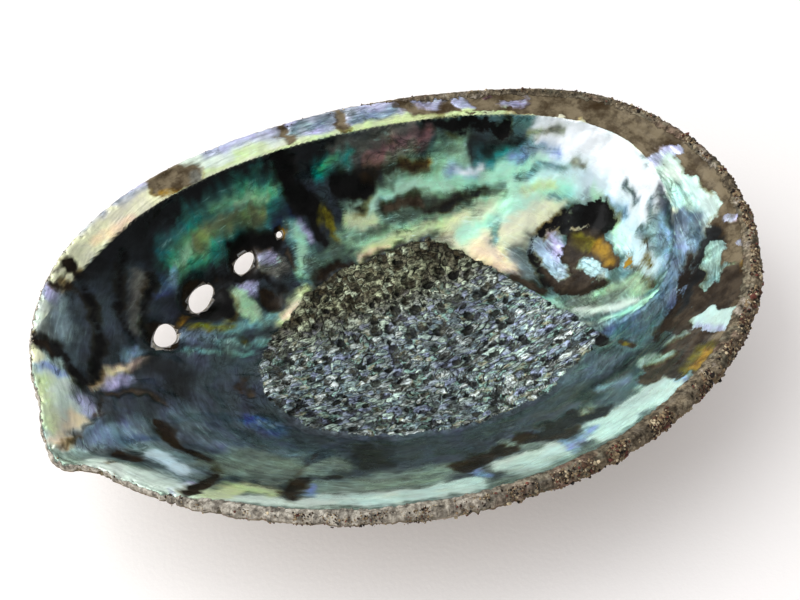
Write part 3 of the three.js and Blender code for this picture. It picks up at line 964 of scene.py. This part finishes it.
def old_tubercles(x, y):
    """Pores that closed as the shell grew, as knobs that shrink towards the spire."""
    line = curve(OLD_PORES, False, 8)
    z, knobs = 0.0, 6
    for k in range(knobs):
        at = line[int(k / knobs * len(line))]
        z = z + mix(1.5, 0.7, k / knobs) * hump(x, y, at, mix(2.7, 1.6, k / knobs))
    return z


def lip_relief(x, y):
    """Roughness of the lip, calmer along the shelf, and chips out of the growing edge."""
    even = mix(1, 0.35, smooth(0, 30, y))
    crusty = (smooth(-60, -10, x) * 0.7 + 0.3) * even
    z = (0.45 * fbm(x / 9, y / 9, 51, 2) + 0.4 * fbm(x / 2.6, y / 2.6, 52, 2)) * even
    z = z + crusty * (0.55 * fbm(x / 1.6, y / 1.6, 53) + 0.3 * fbm(x / 0.7, y / 0.7, 54, 2))
    return z - smooth(-40, -60, x) * 0.9 * smooth(0.1, 0.5, fbm(x / 1.3, y / 1.3, 55, 2))


def thin_lip(x, y):
    """1 where the lip is thin and bare, at the growing end and along the shelf; 0 in the crust."""
    growing_end = smooth(-25, -50, x) * smooth(-26, -8, y)
    growing_end = np.maximum(growing_end, smooth(-54, -63, x) * smooth(-38, -29, y))
    return np.maximum(growing_end, smooth(20, 40, y) * smooth(35, 5, x))


def crust_edge(x, y):
    """Over 0.5 where the lip's crust covers the nacre."""
    angle, r = polar(x, y)
    lip = section(angle)[2]
    to_rim = around(RIM_RADIUS, angle) - r
    ragged = 0.7 * fbm(x / 2.2, y / 2.2, 61) + 0.4 * fbm(x / 0.8, y / 0.8, 62, 2)
    broad = lip * mix(1.05, 1.3, smooth(0, -30, y)) + mix(0.2, 0.8, smooth(0, -30, y))
    width = mix(broad, 0.7, thin_lip(x, y))
    ragged = ragged * mix(1, 0.5, thin_lip(x, y) * smooth(-20, 0, y))
    return np.clip(0.5 + (width + ragged - to_rim) / 2.0, 0, 1)


# ---------------------------------------------------------------- the shell, finished


def add_colour(mesh, name, values):
    """values is (n, 3) or (n, 4), one row a vertex."""
    rows = np.ones((len(mesh.vertices), 4), np.float32)
    rows[:, : values.shape[1]] = values
    layer = mesh.attributes.new(name, "FLOAT_COLOR", "POINT")
    layer.data.foreach_set("color", rows.ravel())


def add_flow(mesh, values):
    layer = mesh.attributes.new("flow", "FLOAT_VECTOR", "POINT")
    layer.data.foreach_set("vector", values.astype(np.float32).ravel())


def paint(mesh, x, y, inside):
    """Writes the colours and fields that the material reads. inside is 1 on the nacre side.

    tint and stain are colours. field holds the stain, the scar, the crust and how crisp the stains
    are. cell holds the scar's pits, gaps and flakes, or off the scar the shell's age and turn.
    """
    tint, stain, stain_edge = lay_strokes(x, y, smooth(-0.3, 0.3, to_shelf(x, y)[0]))
    scar = in_outline(x + 0.9 * fbm(x / 3, y / 3, 71), y + 0.9 * fbm(x / 3, y / 3, 72), SCAR)
    scar_edge = np.clip(0.5 + scar / 4, 0, 1)
    bare = thin_lip(x, y)
    crust = mix(1.0, crust_edge(x, y), smooth(mix(0.4, 0.1, bare), mix(0.9, 0.35, bare), inside))
    for pore in PORES:
        near = pore_distance(x, y, pore, 0.5)
        stain_edge = np.maximum(stain_edge, 0.75 * smooth(1.5, 1.0, near))
    pit, gap, who = scar_grain(x, y)
    angle = polar(x, y)[0]
    age, turn = growth(x, y)
    in_scar = scar_edge > 0.3
    gap, who = np.where(in_scar, gap, age), np.where(in_scar, who, turn / FULL_TURN + 0.5)
    add_colour(mesh, "tint", np.clip(tint, 0, 1))
    add_colour(mesh, "stain", np.clip(stain, 0, 1))
    crisp = smooth(25, 45, x)
    add_colour(mesh, "field", np.column_stack([stain_edge, scar_edge, crust, crisp]))
    add_colour(mesh, "cell", np.column_stack([0.5 + 0.5 * pit, gap, who, inside]))
    add_flow(mesh, np.column_stack([np.cos(angle), np.sin(angle), share_of_radius(x, y, 0)]))
    return stain_edge, scar_edge


def relief(mesh):
    """Pushes the mesh out along its normals, and paints it."""
    co, across = coordinates(mesh), normals(mesh)
    x, y = co[:, 0], co[:, 1]
    inside = np.concatenate([
        np.ones(SHEET), np.zeros(SHEET),
        np.repeat(np.linspace(0.8, 0.1, LIP_RINGS), (len(co) - 2 * SHEET) // LIP_RINGS),
    ])
    stain_edge, scar_edge = paint(mesh, x, y, inside)
    push = np.zeros(len(co))
    top, back = slice(0, SHEET), slice(SHEET, 2 * SHEET)
    push[top] = inner_relief(x[top], y[top], stain_edge[top], scar_edge[top])
    push[back] = outer_relief(x[back], y[back]) + old_tubercles(x[back], y[back])
    to_rim = (1 - share_of_radius(x, y, 0)) * around(RIM_RADIUS, polar(x, y)[0])
    push[top] *= smooth(0.0, 1.2, to_rim[top] - 1.0)
    push[back] *= smooth(0.0, 3.0, to_rim[back])
    push = push + smooth(3.5, 0, to_rim) * lip_relief(x, y)
    co = co + across * push[:, None]
    co[:, 2] = np.maximum(co[:, 2], -LIFT)
    set_coordinates(mesh, co)


def add_object(name, data):
    made = bpy.data.objects.new(name, data)
    bpy.context.scene.collection.objects.link(made)
    return made


PORE_LEAN = Vector((-0.28, -0.60, 0.75))  # the direction that the pores lean to
LEAN_SHARE = 0.8  # how much of the way there from the wall's normal
PORE_SIDES = 48
# Rings of the plug that cuts a pore: height over the nacre in mm, size against the pore's
PORE_RINGS = ((-13.0, 1.4), (-5.0, 1.15), (-2.0, 1.04), (-0.6, 1.0), (0.6, 1.05), (4.0, 1.5))
IN_PORE = 0.95  # the inside value of a pore's wall


def pore_cutter(pore):
    """A slightly uneven plug across the wall, wider to the back."""
    px, py, length, width = pore
    z = inner_height(px + np.array([0, 1.0, -1, 0, 0]), py + np.array([0, 0, 0, 1.0, -1]))
    up = Vector(((z[2] - z[1]) / 2, (z[4] - z[3]) / 2, 1)).normalized()
    up = up.lerp(PORE_LEAN, LEAN_SHARE).normalized()
    along = Vector((math.cos(PORE_ROW), math.sin(PORE_ROW), 0))
    along = (along - up * along.dot(up)).normalized()
    across = up.cross(along)
    sides, points = PORE_SIDES, []
    for level, grow in PORE_RINGS:
        for k in range(sides):
            a = FULL_TURN * k / sides
            uneven = 1 + 0.07 * math.sin(2 * a + px) + 0.05 * math.sin(3 * a + py)
            step = along * math.cos(a) * length / 2 + across * math.sin(a) * width / 2
            points.append(Vector((px, py, z[0])) + step * grow * uneven + up * level)
    last = len(PORE_RINGS) - 1
    faces = [list(range(sides - 1, -1, -1)), [last * sides + k for k in range(sides)]]
    for ring in range(last):
        for k in range(sides):
            a, b = ring * sides + k, ring * sides + (k + 1) % sides
            faces.append([a, b, b + sides, a + sides])
    mesh = bpy.data.meshes.new("pore")
    mesh.from_pydata([tuple(p) for p in points], [], faces)
    paint(mesh, *(np.full(len(points), value) for value in (px, py, IN_PORE)))
    return add_object("pore", mesh)


def open_pores(shell):
    """Cuts the pores through the wall."""
    for pore in PORES:
        cutter = pore_cutter(pore)
        cut = shell.modifiers.new("pore", "BOOLEAN")
        cut.operation, cut.solver, cut.object = "DIFFERENCE", "MANIFOLD", cutter
        bpy.context.view_layer.update()
        evaluated = shell.evaluated_get(bpy.context.evaluated_depsgraph_get())
        made = bpy.data.meshes.new_from_object(evaluated)
        shell.modifiers.clear()
        shell.data = made
        bpy.data.objects.remove(cutter)


def to_row_frame(mesh):
    """Millimetres about the rim to metres on the table."""
    co = coordinates(mesh)
    co[:, :2] += SHIFT[:2]
    co[:, 2] += LIFT
    set_coordinates(mesh, co * MM)


ON_BACK = 0.05  # an inside value below this is on the back


def inside_values(mesh):
    """1 on the nacre side, 0 on the back and between on the lip, for each vertex."""
    rows = np.empty(len(mesh.vertices) * 4, np.float32)
    mesh.attributes["cell"].data.foreach_get("color", rows)
    return rows.reshape(-1, 4)[:, 3]


def keep_side(source, name, back):
    """A copy of the shell's mesh with only its back, or with everything but its back."""
    inside = inside_values(source)
    shape = bmesh.new()
    shape.from_mesh(source)
    drop = [f for f in shape.faces if (max(inside[v.index] for v in f.verts) < ON_BACK) != back]
    bmesh.ops.delete(shape, geom=drop, context="FACES")
    mesh = bpy.data.meshes.new(name)
    shape.to_mesh(mesh)
    shape.free()
    mesh.shade_smooth()
    return mesh


def new_object(name, mesh, material):
    made = add_object(name, mesh)
    mesh.materials.clear()
    mesh.materials.append(material)
    return made


def make_shell():
    """The nacre side with its lip, the back, and the whole mesh that both were taken from."""
    mesh = make_shell_mesh()
    relief(mesh)
    whole = add_object("whole", mesh)
    open_pores(whole)
    to_row_frame(whole.data)
    whole.data.shade_smooth()
    material = shell_material()
    bowl = new_object("nacre_bowl", keep_side(whole.data, "nacre_bowl", False), material)
    back = new_object("shell_back", keep_side(whole.data, "shell_back", True), material)
    return bowl, back, whole


# ---------------------------------------------------------------- grains of crust on the lip

CRUST_SHADES = ("9c8564", "5c4230", "d0bd9a", "7b4639", "211810")
CRUST_SHARES = (0.34, 0.24, 0.16, 0.08, 0.18)  # of the grains, shade by shade
CRUST_JITTER = 0.15  # mm off the surface's points
CRUST_SUNK = 0.6  # of its radius that a grain's middle lies under the surface
# Fine and coarse grains: number, radius in thin and in broad crust (mm), range of sizes, roundness
CRUST_LAYERS = ((7600, (0.16, 0.3), (0.6, 1.6), 1), (450, (0.25, 0.6), (0.7, 1.4), 2))


def ball(subdivisions):
    """Corners and faces of a small round grain."""
    made = bpy.data.meshes.new("ball")
    shape = bmesh.new()
    bmesh.ops.create_icosphere(shape, subdivisions=subdivisions, radius=1)
    shape.to_mesh(made)
    shape.free()
    faces = np.array([list(f.vertices) for f in made.polygons])
    return coordinates(made), faces


def crust_places(mesh, count, rng):
    """Random places on the lip and just outside it, most of them to the spire end."""
    co, across, inside = coordinates(mesh) * 1000, normals(mesh), inside_values(mesh)
    x, y = co[:, 0] - SHIFT[0], co[:, 1] - SHIFT[1]
    lip = (inside > ON_BACK) & (inside < 0.9)
    by_lip = (inside < ON_BACK) & (share_of_radius(x, y, 0) > 0.965)
    near = np.flatnonzero(lip | by_lip)
    crusty = smooth(-75, 45, x[near] - 0.45 * y[near]) * (0.12 + 0.88 * smooth(40, 10, y[near]))
    crusty = (0.02 + crusty) * smooth(-0.25, 0.25, fbm(x[near] / 5, y[near] / 5, 81, 3))
    chosen = rng.choice(near, count, p=crusty / crusty.sum())
    jitter = rng.normal(0, CRUST_JITTER, (count, 3))
    broad = smooth(-40, 50, x[chosen]) * mix(1, 0.3, smooth(0, 28, y[chosen]))
    return co[chosen] + jitter, across[chosen], broad


def grains(places, across, radius, subdivisions, rng):
    """Points, faces and colours of many small lumps, sunk into the surface."""
    corners, faces = ball(subdivisions)
    n, count = len(corners), len(places)
    stretch = rng.uniform(0.6, 1.25, (count, 1, 3)) * radius[:, None, None]
    lumps = rng.uniform(0.7, 1.25, (count, n, 1))
    turns = [Matrix.Rotation(a, 3, axis) for a, axis in
             zip(rng.uniform(0, 6.28, count), rng.normal(size=(count, 3)).tolist())]
    turned = np.einsum("kij,knj->kni", np.array(turns), corners * lumps * stretch)
    centres = places - across * radius[:, None] * CRUST_SUNK
    points = (centres[:, None, :] + turned).reshape(-1, 3)
    offsets = np.repeat(np.arange(count) * n, len(faces))[:, None]
    shades = rng.choice(len(CRUST_SHADES), count, p=CRUST_SHARES)
    colours = np.array([linear(c) for c in CRUST_SHADES])[shades]
    colours = np.repeat(colours * rng.uniform(0.7, 1.2, (count, 1)), n, axis=0)
    return points, np.tile(faces, (count, 1)) + offsets, colours


def make_crust(whole):
    """The grains of crust as one piece. The order of the random draws fixes their places."""
    rng = np.random.default_rng(7)
    layers, start = [], 0
    for count, sizes, vary, roundness in CRUST_LAYERS:
        places, across, broad = crust_places(whole, count, rng)
        radius = mix(*sizes, broad) * rng.uniform(*vary, count)
        points, faces, colours = grains(places, across, radius, roundness, rng)
        layers.append((points, faces + start, colours))
        start += len(points)
    points, faces, colours = (np.vstack(part) for part in zip(*layers))
    mesh = bpy.data.meshes.new("lip_crust")
    mesh.from_pydata((points * MM).tolist(), [], faces.tolist())
    add_colour(mesh, "tint", colours)
    mesh.shade_smooth()
    return new_object("lip_crust", mesh, grain_material())


# ---------------------------------------------------------------- materials


class Shader:
    """Adds nodes to one material. Every call gives back the socket to link on.

    A colour that is the same all over is given as its six digits.
    """

    def __init__(self, name):
        self.material = bpy.data.materials.new(name)
        self.material.use_nodes = True
        self.tree = self.material.node_tree
        self.principled = self.tree.nodes["Principled BSDF"]

    def node(self, kind, inputs, out=0, **settings):
        made = self.tree.nodes.new("ShaderNode" + kind)
        for key, value in settings.items():
            setattr(made, key, value)
        for key, value in inputs.items():
            self.put(made.inputs[key], value)
        return made.outputs[out]

    def put(self, socket, value):
        if isinstance(value, bpy.types.NodeSocket):
            self.tree.links.new(value, socket)
        else:
            socket.default_value = (*linear(value), 1.0) if isinstance(value, str) else value

    def surface(self, inputs):
        """Links or sets the inputs of the material's own shader."""
        for key, value in inputs.items():
            self.put(self.principled.inputs[key], value)
        return self.material

    def place(self):
        return self.node("TexCoord", {}, "Object")

    def attribute(self, name, out="Color"):
        return self.node("Attribute", {}, out, attribute_name=name)

    def split(self, colour):
        made = self.tree.nodes.new("ShaderNodeSeparateColor")
        self.tree.links.new(colour, made.inputs[0])
        return made.outputs[0], made.outputs[1], made.outputs[2]

    def math(self, operation, first, *others):
        """Takes two or more values together, from the left."""
        for other in others:
            first = self.node("Math", {0: first, 1: other}, operation=operation)
        return first

    def times(self, *values):
        return self.math("MULTIPLY", *values)

    def plus(self, *values):
        return self.math("ADD", *values)

    def minus(self, a, b):
        return self.math("SUBTRACT", a, b)

    def grey(self, level):
        return self.node("CombineColor", {0: level, 1: level, 2: level})

    def bump(self, strength, distance, height):
        return self.node("Bump", {"Strength": strength, "Distance": distance, "Height": height})

    def mix(self, factor, a, b, blend="MIX"):
        return self.node(
            "Mix", {"Factor": factor, 6: a, 7: b}, 2, data_type="RGBA", blend_type=blend
        )

    def between(self, factor, a, b):
        """A value from a to b."""
        return self.node("Mix", {"Factor": factor, 2: a, 3: b}, 0, data_type="FLOAT")

    def window(self, value, low, high, start=0.0, end=1.0):
        """A smooth step from start at low to end at high."""
        return self.node(
            "MapRange", {0: value, 1: low, 2: high, 3: start, 4: end},
            interpolation_type="SMOOTHSTEP",
        )

    def stretch(self, vector, scale):
        return self.node("VectorMath", {0: vector, 1: scale}, operation="MULTIPLY")

    def noise(self, vector, scale, detail=4.0, rough=0.55, distortion=0.0):
        return self.node(
            "TexNoise",
            {"Vector": vector, "Scale": scale, "Detail": detail, "Roughness": rough,
             "Distortion": distortion},
        )

    def streaks(self, flow, turn, out, detail, rough, distortion=0.0):
        """Noise on the flow, with its fineness round the shell and out towards the rim."""
        return self.noise(self.stretch(flow, (turn, turn, out)), 1.0, detail, rough, distortion)

    def ramp(self, value, stops):
        made = self.tree.nodes.new("ShaderNodeValToRGB")
        self.tree.links.new(value, made.inputs[0])
        while len(made.color_ramp.elements) < len(stops):
            made.color_ramp.elements.new(0.5)
        for element, (place, code) in zip(made.color_ramp.elements, stops):
            element.position = place
            element.color = (*linear(code), 1)
        return made.outputs[0]

    def shift(self, colour, hue, saturation=1.0, value=1.0):
        return self.node(
            "HueSaturation",
            {"Hue": hue, "Saturation": saturation, "Value": value, "Color": colour},
        )


def nacre_colour(s, flow, place):
    """The strokes' tint, broken into soft bands of neighbouring hues along the growth lines.

    Gives the colour, the crinkles and bands that it follows, and where it is pale.
    """
    tint = s.attribute("tint")
    bands = s.streaks(flow, 5.0, 15.0, 5.0, 0.6, 0.5)
    crinkle = s.streaks(flow, 10.0, 40.0, 4.0, 0.6, 0.7)
    clouds = s.noise(place, 130.0, 5.0, 0.6, 0.6)
    fine = s.streaks(flow, 13.0, 95.0, 4.0, 0.6, 0.8)
    brightness = s.node("RGBToBW", {0: tint})
    pale = s.window(brightness, 0.42, 0.7, 0.0, 0.85)
    hue = s.plus(s.window(bands, 0.3, 0.7, -0.05, 0.04), 0.5)
    hue = s.plus(hue, s.window(clouds, 0.3, 0.7, -0.03, 0.03))
    hue = s.between(s.times(pale, 0.7), hue, 0.5)
    value = s.times(
        s.window(crinkle, 0.32, 0.68, 0.68, 1.28), s.window(clouds, 0.3, 0.7, 0.7, 1.3),
        s.window(fine, 0.3, 0.7, 0.82, 1.15),
    )
    value = s.between(pale, value, s.window(clouds, 0.35, 0.65, 0.95, 1.15))
    nacre = s.shift(tint, hue, s.window(clouds, 0.3, 0.7, 0.75, 1.15), value)
    veins = s.minus(s.streaks(flow, 8.0, 34.0, 4.0, 0.6, 0.8), 0.5)
    veins = s.window(s.node("Math", {0: veins}, operation="ABSOLUTE"), 0.06, 0.0)
    where = s.window(s.noise(place, 70.0, 3.0, 0.5), 0.42, 0.6)
    veins = s.times(veins, s.times(where, s.between(pale, 0.6, 0.0)))
    nacre = s.mix(veins, nacre, "4a5a4c", "MULTIPLY")
    glint = s.times(s.window(fine, 0.55, 0.72), s.window(bands, 0.42, 0.62))
    glint = s.times(glint, s.times(s.window(brightness, 0.04, 0.2), 0.6))
    return s.mix(glint, nacre, "b4e6d6", "SCREEN"), crinkle, bands, pale


def scar_colour(s, place, cell):
    """Silver, lilac and green flakes of nacre round dark pits, browner to the shelf side.

    Gives the colour, where it is dark, and the grit.
    """
    pit, gap, who = s.split(cell)
    grit = s.noise(s.stretch(place, (0.5, 1.3, 1.0)), 1400.0, 3.0, 0.7)
    pick = s.plus(who, s.times(s.noise(place, 110.0, 3.0, 0.5), 1.3))
    pick = s.node("Math", {0: pick}, operation="FRACT")
    silver = s.ramp(pick, [
        (0.0, "33373a"), (0.12, "8c9793"), (0.24, "8088a0"), (0.34, "505a58"), (0.44, "a9bcae"),
        (0.55, "66777f"), (0.66, "45453d"), (0.76, "bcc6c4"), (0.88, "77735c"), (0.97, "7b9a90"),
    ])
    brown = s.ramp(pick, [
        (0.0, "1f1a14"), (0.15, "6d6a55"), (0.3, "2f281c"), (0.45, "93977a"), (0.6, "54503c"),
        (0.75, "a5ad93"), (0.9, "3b3424"),
    ])
    to_shelf_side = s.node("SeparateXYZ", {0: place}, 1)
    flakes = s.mix(s.window(to_shelf_side, 0.008, 0.024), silver, brown)
    flakes = s.mix(1.0, flakes, s.grey(s.window(grit, 0.36, 0.64, 0.3, 2.1)), "MULTIPLY")
    zones = s.window(s.noise(place, 48.0, 3.0, 0.5, 0.6), 0.36, 0.64, 0.72, 1.3)
    flakes = s.mix(1.0, flakes, s.grey(zones), "MULTIPLY")
    dark = s.window(s.plus(gap, s.window(grit, 0.3, 0.7, 0.1, -0.1)), 0.15, 0.05)
    floor = s.window(s.noise(place, 260.0, 4.0, 0.6), 0.42, 0.6)
    shaded = s.times(s.window(pit, 0.42, 0.54), s.between(floor, 1.0, 0.72))
    dark = s.times(s.math("MAXIMUM", dark, shaded), 0.95)
    return s.mix(dark, flakes, s.mix(floor, "0d0d0b", "2c271b")), dark, grit


def crust_colour(s, place, flow, cell):
    """Limy crust in dull browns, banded with the shell's growth, paler to the growing end.

    Gives the colour and its grain.
    """
    age, turn = s.split(cell)[1:]
    broad = s.noise(place, 55.0, 6.0, 0.62)
    grain = s.noise(place, 700.0, 5.0, 0.7)
    lines = s.node("CombineXYZ", {0: s.times(age, 34.0), 1: s.times(turn, 14.0)})
    bands = s.noise(lines, 1.0, 6.0, 0.65, 0.4)
    body = s.ramp(broad, [
        (0.3, "3d3426"), (0.4, "6b5c43"), (0.48, "857354"), (0.54, "5f5b43"), (0.6, "7c6148"),
        (0.68, "9a7263"),
    ])
    body = s.mix(s.window(bands, 0.5, 0.62, 0.0, 0.7), body, "a99a7e")
    body = s.mix(s.window(bands, 0.44, 0.34, 0.0, 0.75), body, "3a3024")
    limy = s.window(s.noise(place, 85.0, 7.0, 0.68, 0.5), 0.57, 0.62, 0.0, 0.75)
    body = s.mix(limy, body, "c9bbaa")
    at_lip = s.window(s.attribute("cell", "Alpha"), 0.02, 0.12)
    to_spire = s.node("SeparateXYZ", {0: place})
    pale = s.times(s.window(to_spire, 0.015, -0.045, 0.15, 0.9), s.plus(at_lip, 0.1))
    body = s.mix(pale, body, "d3cbbb")
    streaks = s.window(s.streaks(flow, 55.0, 12.0, 4.0, 0.65), 0.52, 0.4, 0.0, 0.5)
    body = s.mix(s.times(streaks, at_lip), body, "2c2118")
    shade = s.ramp(grain, [(0.32, "2a2623"), (0.48, "b8b4b0"), (0.6, "ffffff")])
    return s.mix(s.between(at_lip, 0.55, 0.9), body, shade, "MULTIPLY"), grain


def shell_material():
    """Nacre, then the stains, the muscle scar and the crust, each laid over what is before it."""
    s = Shader("nacre_and_crust")
    place, flow, cell = s.place(), s.attribute("flow", "Vector"), s.attribute("cell")
    stain_edge, scar_edge, crust_edge_field = s.split(s.attribute("field"))
    crisp = s.attribute("field", "Alpha")

    nacre, crinkle, bands, pale = nacre_colour(s, flow, place)
    wander = s.minus(s.noise(place, 330.0, 3.0, 0.5), 0.5)
    ragged = s.minus(s.noise(place, 1100.0, 4.0, 0.65), 0.5)
    wander = s.plus(s.times(wander, 0.3), s.times(ragged, s.between(crisp, 0.1, 0.4)))
    level = s.plus(stain_edge, wander)
    stained = s.window(level, s.between(crisp, 0.36, 0.46), s.between(crisp, 0.72, 0.58))
    patchy = s.window(s.noise(place, 160.0, 3.0, 0.5), 0.42, 0.6, 0.05, 0.85)
    fringe = s.times(s.window(level, 0.2, 0.5), patchy)
    nacre = s.mix(fringe, nacre, "94742c", "MULTIPLY")
    smoke, brown = s.noise(place, 200.0, 5.0, 0.65), s.attribute("stain")
    stain = s.mix(s.window(smoke, 0.35, 0.7), brown, "8e7a5c", "MULTIPLY")
    stain = s.mix(s.window(smoke, 0.55, 0.4, 0.0, 0.35), stain, brown, "ADD")
    colour = s.mix(stained, nacre, stain)

    scar, dark, grit = scar_colour(s, place, cell)
    in_scar = s.window(s.plus(scar_edge, s.times(ragged, 0.4)), 0.44, 0.52)
    colour = s.mix(in_scar, colour, scar)

    crust, grain = crust_colour(s, place, flow, cell)
    in_crust = s.window(s.plus(crust_edge_field, s.times(ragged, 0.6)), 0.42, 0.56)
    colour = s.mix(in_crust, colour, crust)

    bare = s.minus(1.0, in_crust)
    shiny = s.minus(1.0, s.times(stained, s.minus(1.0, in_scar)))
    metal = s.times(bare, s.between(pale, 0.55, 0.12), s.window(shiny, 0, 1, 0.1, 1))
    rough = s.between(in_scar, s.window(bands, 0.3, 0.7, 0.22, 0.36), 0.36)
    coat = s.times(bare, shiny, s.between(in_scar, 0.3, 0.05))

    height = s.plus(
        s.times(crinkle, s.between(pale, 0.08, 0.03)), s.times(stained, -0.06),
        s.times(s.noise(place, 420.0, 5.0, 0.6), 0.10),
        s.times(in_scar, s.plus(grit, s.times(dark, -0.6)), 0.5),
        s.times(in_crust, grain, 0.9),
    )
    return s.surface({
        "Base Color": colour, "Metallic": metal, "Roughness": s.between(in_crust, rough, 0.85),
        "Coat Weight": coat, "Normal": s.bump(0.9, 0.0009, height),
        "Coat Roughness": 0.12, "Specular IOR Level": 0.12,
    })


def grain_material():
    s = Shader("lip_crust")
    fine = s.noise(s.place(), 1500.0, 4.0, 0.7)
    shade = s.ramp(fine, [(0.3, "7a7a7a"), (0.6, "ffffff")])
    return s.surface({
        "Base Color": s.mix(1.0, s.attribute("tint"), shade, "MULTIPLY"),
        "Normal": s.bump(0.6, 0.0004, fine), "Roughness": 0.8, "Specular IOR Level": 0.3,
    })


def table_material():
    """A pale table with a faint glow, which stands for the light of the room round it."""
    s = Shader("table_top")
    place = s.place()
    return s.surface({
        "Base Color": s.ramp(s.noise(place, 3.0, 3.0), [(0.3, "e2deda"), (0.7, "e7e3e0")]),
        "Normal": s.bump(0.1, 0.0005, s.noise(place, 900.0, 3.0)), "Roughness": 0.55,
        "Emission Color": (1.0, 0.93, 0.89, 1), "Emission Strength": 0.24,
    })


# ---------------------------------------------------------------- table, camera and light

VIEW_AZIMUTH, VIEW_ELEVATION = -25, 49  # degrees from the front, and above the table
VIEW_DISTANCE = 0.3465
VIEW_TARGET = Vector((-3.0, -3.6, 0))  # on the rim's plane, mm
LENS, SENSOR = 72, 36
TABLE_SIZE = 4.0
WINDOW_SIDE = (-0.62, 0.55, 0.56)  # where the room is brightest
# Soft lights: azimuth, elevation, distance, size (m), power (W), colour
PANELS = {
    "window": (250, 41, 0.85, 1.1, 9.0, (0.95, 0.98, 1.0)),
    "overhead": (200, 72, 1.3, 0.9, 2.0, (1.0, 0.99, 0.97)),
}


def from_angles(azimuth, elevation):
    """The direction of a place seen from the origin: degrees from the front, and up."""
    azimuth, elevation = math.radians(azimuth), math.radians(elevation)
    return Vector((
        math.sin(azimuth) * math.cos(elevation), -math.cos(azimuth) * math.cos(elevation),
        math.sin(elevation),
    ))


def make_table():
    bpy.ops.mesh.primitive_plane_add(size=TABLE_SIZE, location=(0, 0, 0))
    table = bpy.context.object
    table.name = "table"
    table.data.materials.append(table_material())


def make_camera():
    camera = add_object("camera", bpy.data.cameras.new("camera"))
    camera.data.lens, camera.data.sensor_width = LENS, SENSOR
    target = (VIEW_TARGET + Vector((SHIFT[0], SHIFT[1], LIFT))) * MM
    back = from_angles(VIEW_AZIMUTH, VIEW_ELEVATION)
    camera.location = target + back * VIEW_DISTANCE
    camera.rotation_euler = back.to_track_quat("Z", "Y").to_euler()
    bpy.context.scene.camera = camera


def add_panel(name, azimuth, elevation, distance, size, watts, colour):
    light = bpy.data.lights.new(name, "AREA")
    light.shape, light.size, light.energy, light.color = "SQUARE", size, watts, colour
    panel = add_object(name, light)
    way = from_angles(azimuth, elevation)
    panel.location = way * distance
    panel.rotation_euler = way.to_track_quat("Z", "Y").to_euler()


def make_world():
    """A pale room, brighter to the window side and dim behind the camera."""
    world = bpy.data.worlds.new("studio")
    world.use_nodes = True
    tree = world.node_tree
    place = tree.nodes.new("ShaderNodeTexCoord").outputs["Generated"]
    towards = tree.nodes.new("ShaderNodeVectorMath")
    towards.operation = "DOT_PRODUCT"
    towards.inputs[1].default_value = WINDOW_SIDE
    tree.links.new(place, towards.inputs[0])
    level = tree.nodes.new("ShaderNodeMapRange")
    level.inputs["From Min"].default_value, level.inputs["From Max"].default_value = -0.5, 0.85
    level.inputs["To Min"].default_value, level.inputs["To Max"].default_value = 0.36, 0.8
    tree.links.new(towards.outputs["Value"], level.inputs["Value"])
    tree.links.new(level.outputs[0], tree.nodes["Background"].inputs[1])
    tree.nodes["Background"].inputs[0].default_value = (0.93, 0.95, 1.0, 1)
    bpy.context.scene.world = world


def make_light():
    make_world()
    for name, settings in PANELS.items():
        add_panel(name, *settings)
    bpy.context.scene.view_settings.view_transform = "Standard"
    bpy.context.scene.view_settings.look = "None"


def main():
    make_camera()
    make_light()
    make_table()
    bowl, back, whole = make_shell()
    crust = make_crust(whole.data)
    bpy.data.objects.remove(whole)
    for piece in (bowl, back):
        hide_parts("shell")
    for piece in (bowl, back, crust):
        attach(piece, "root")


main()
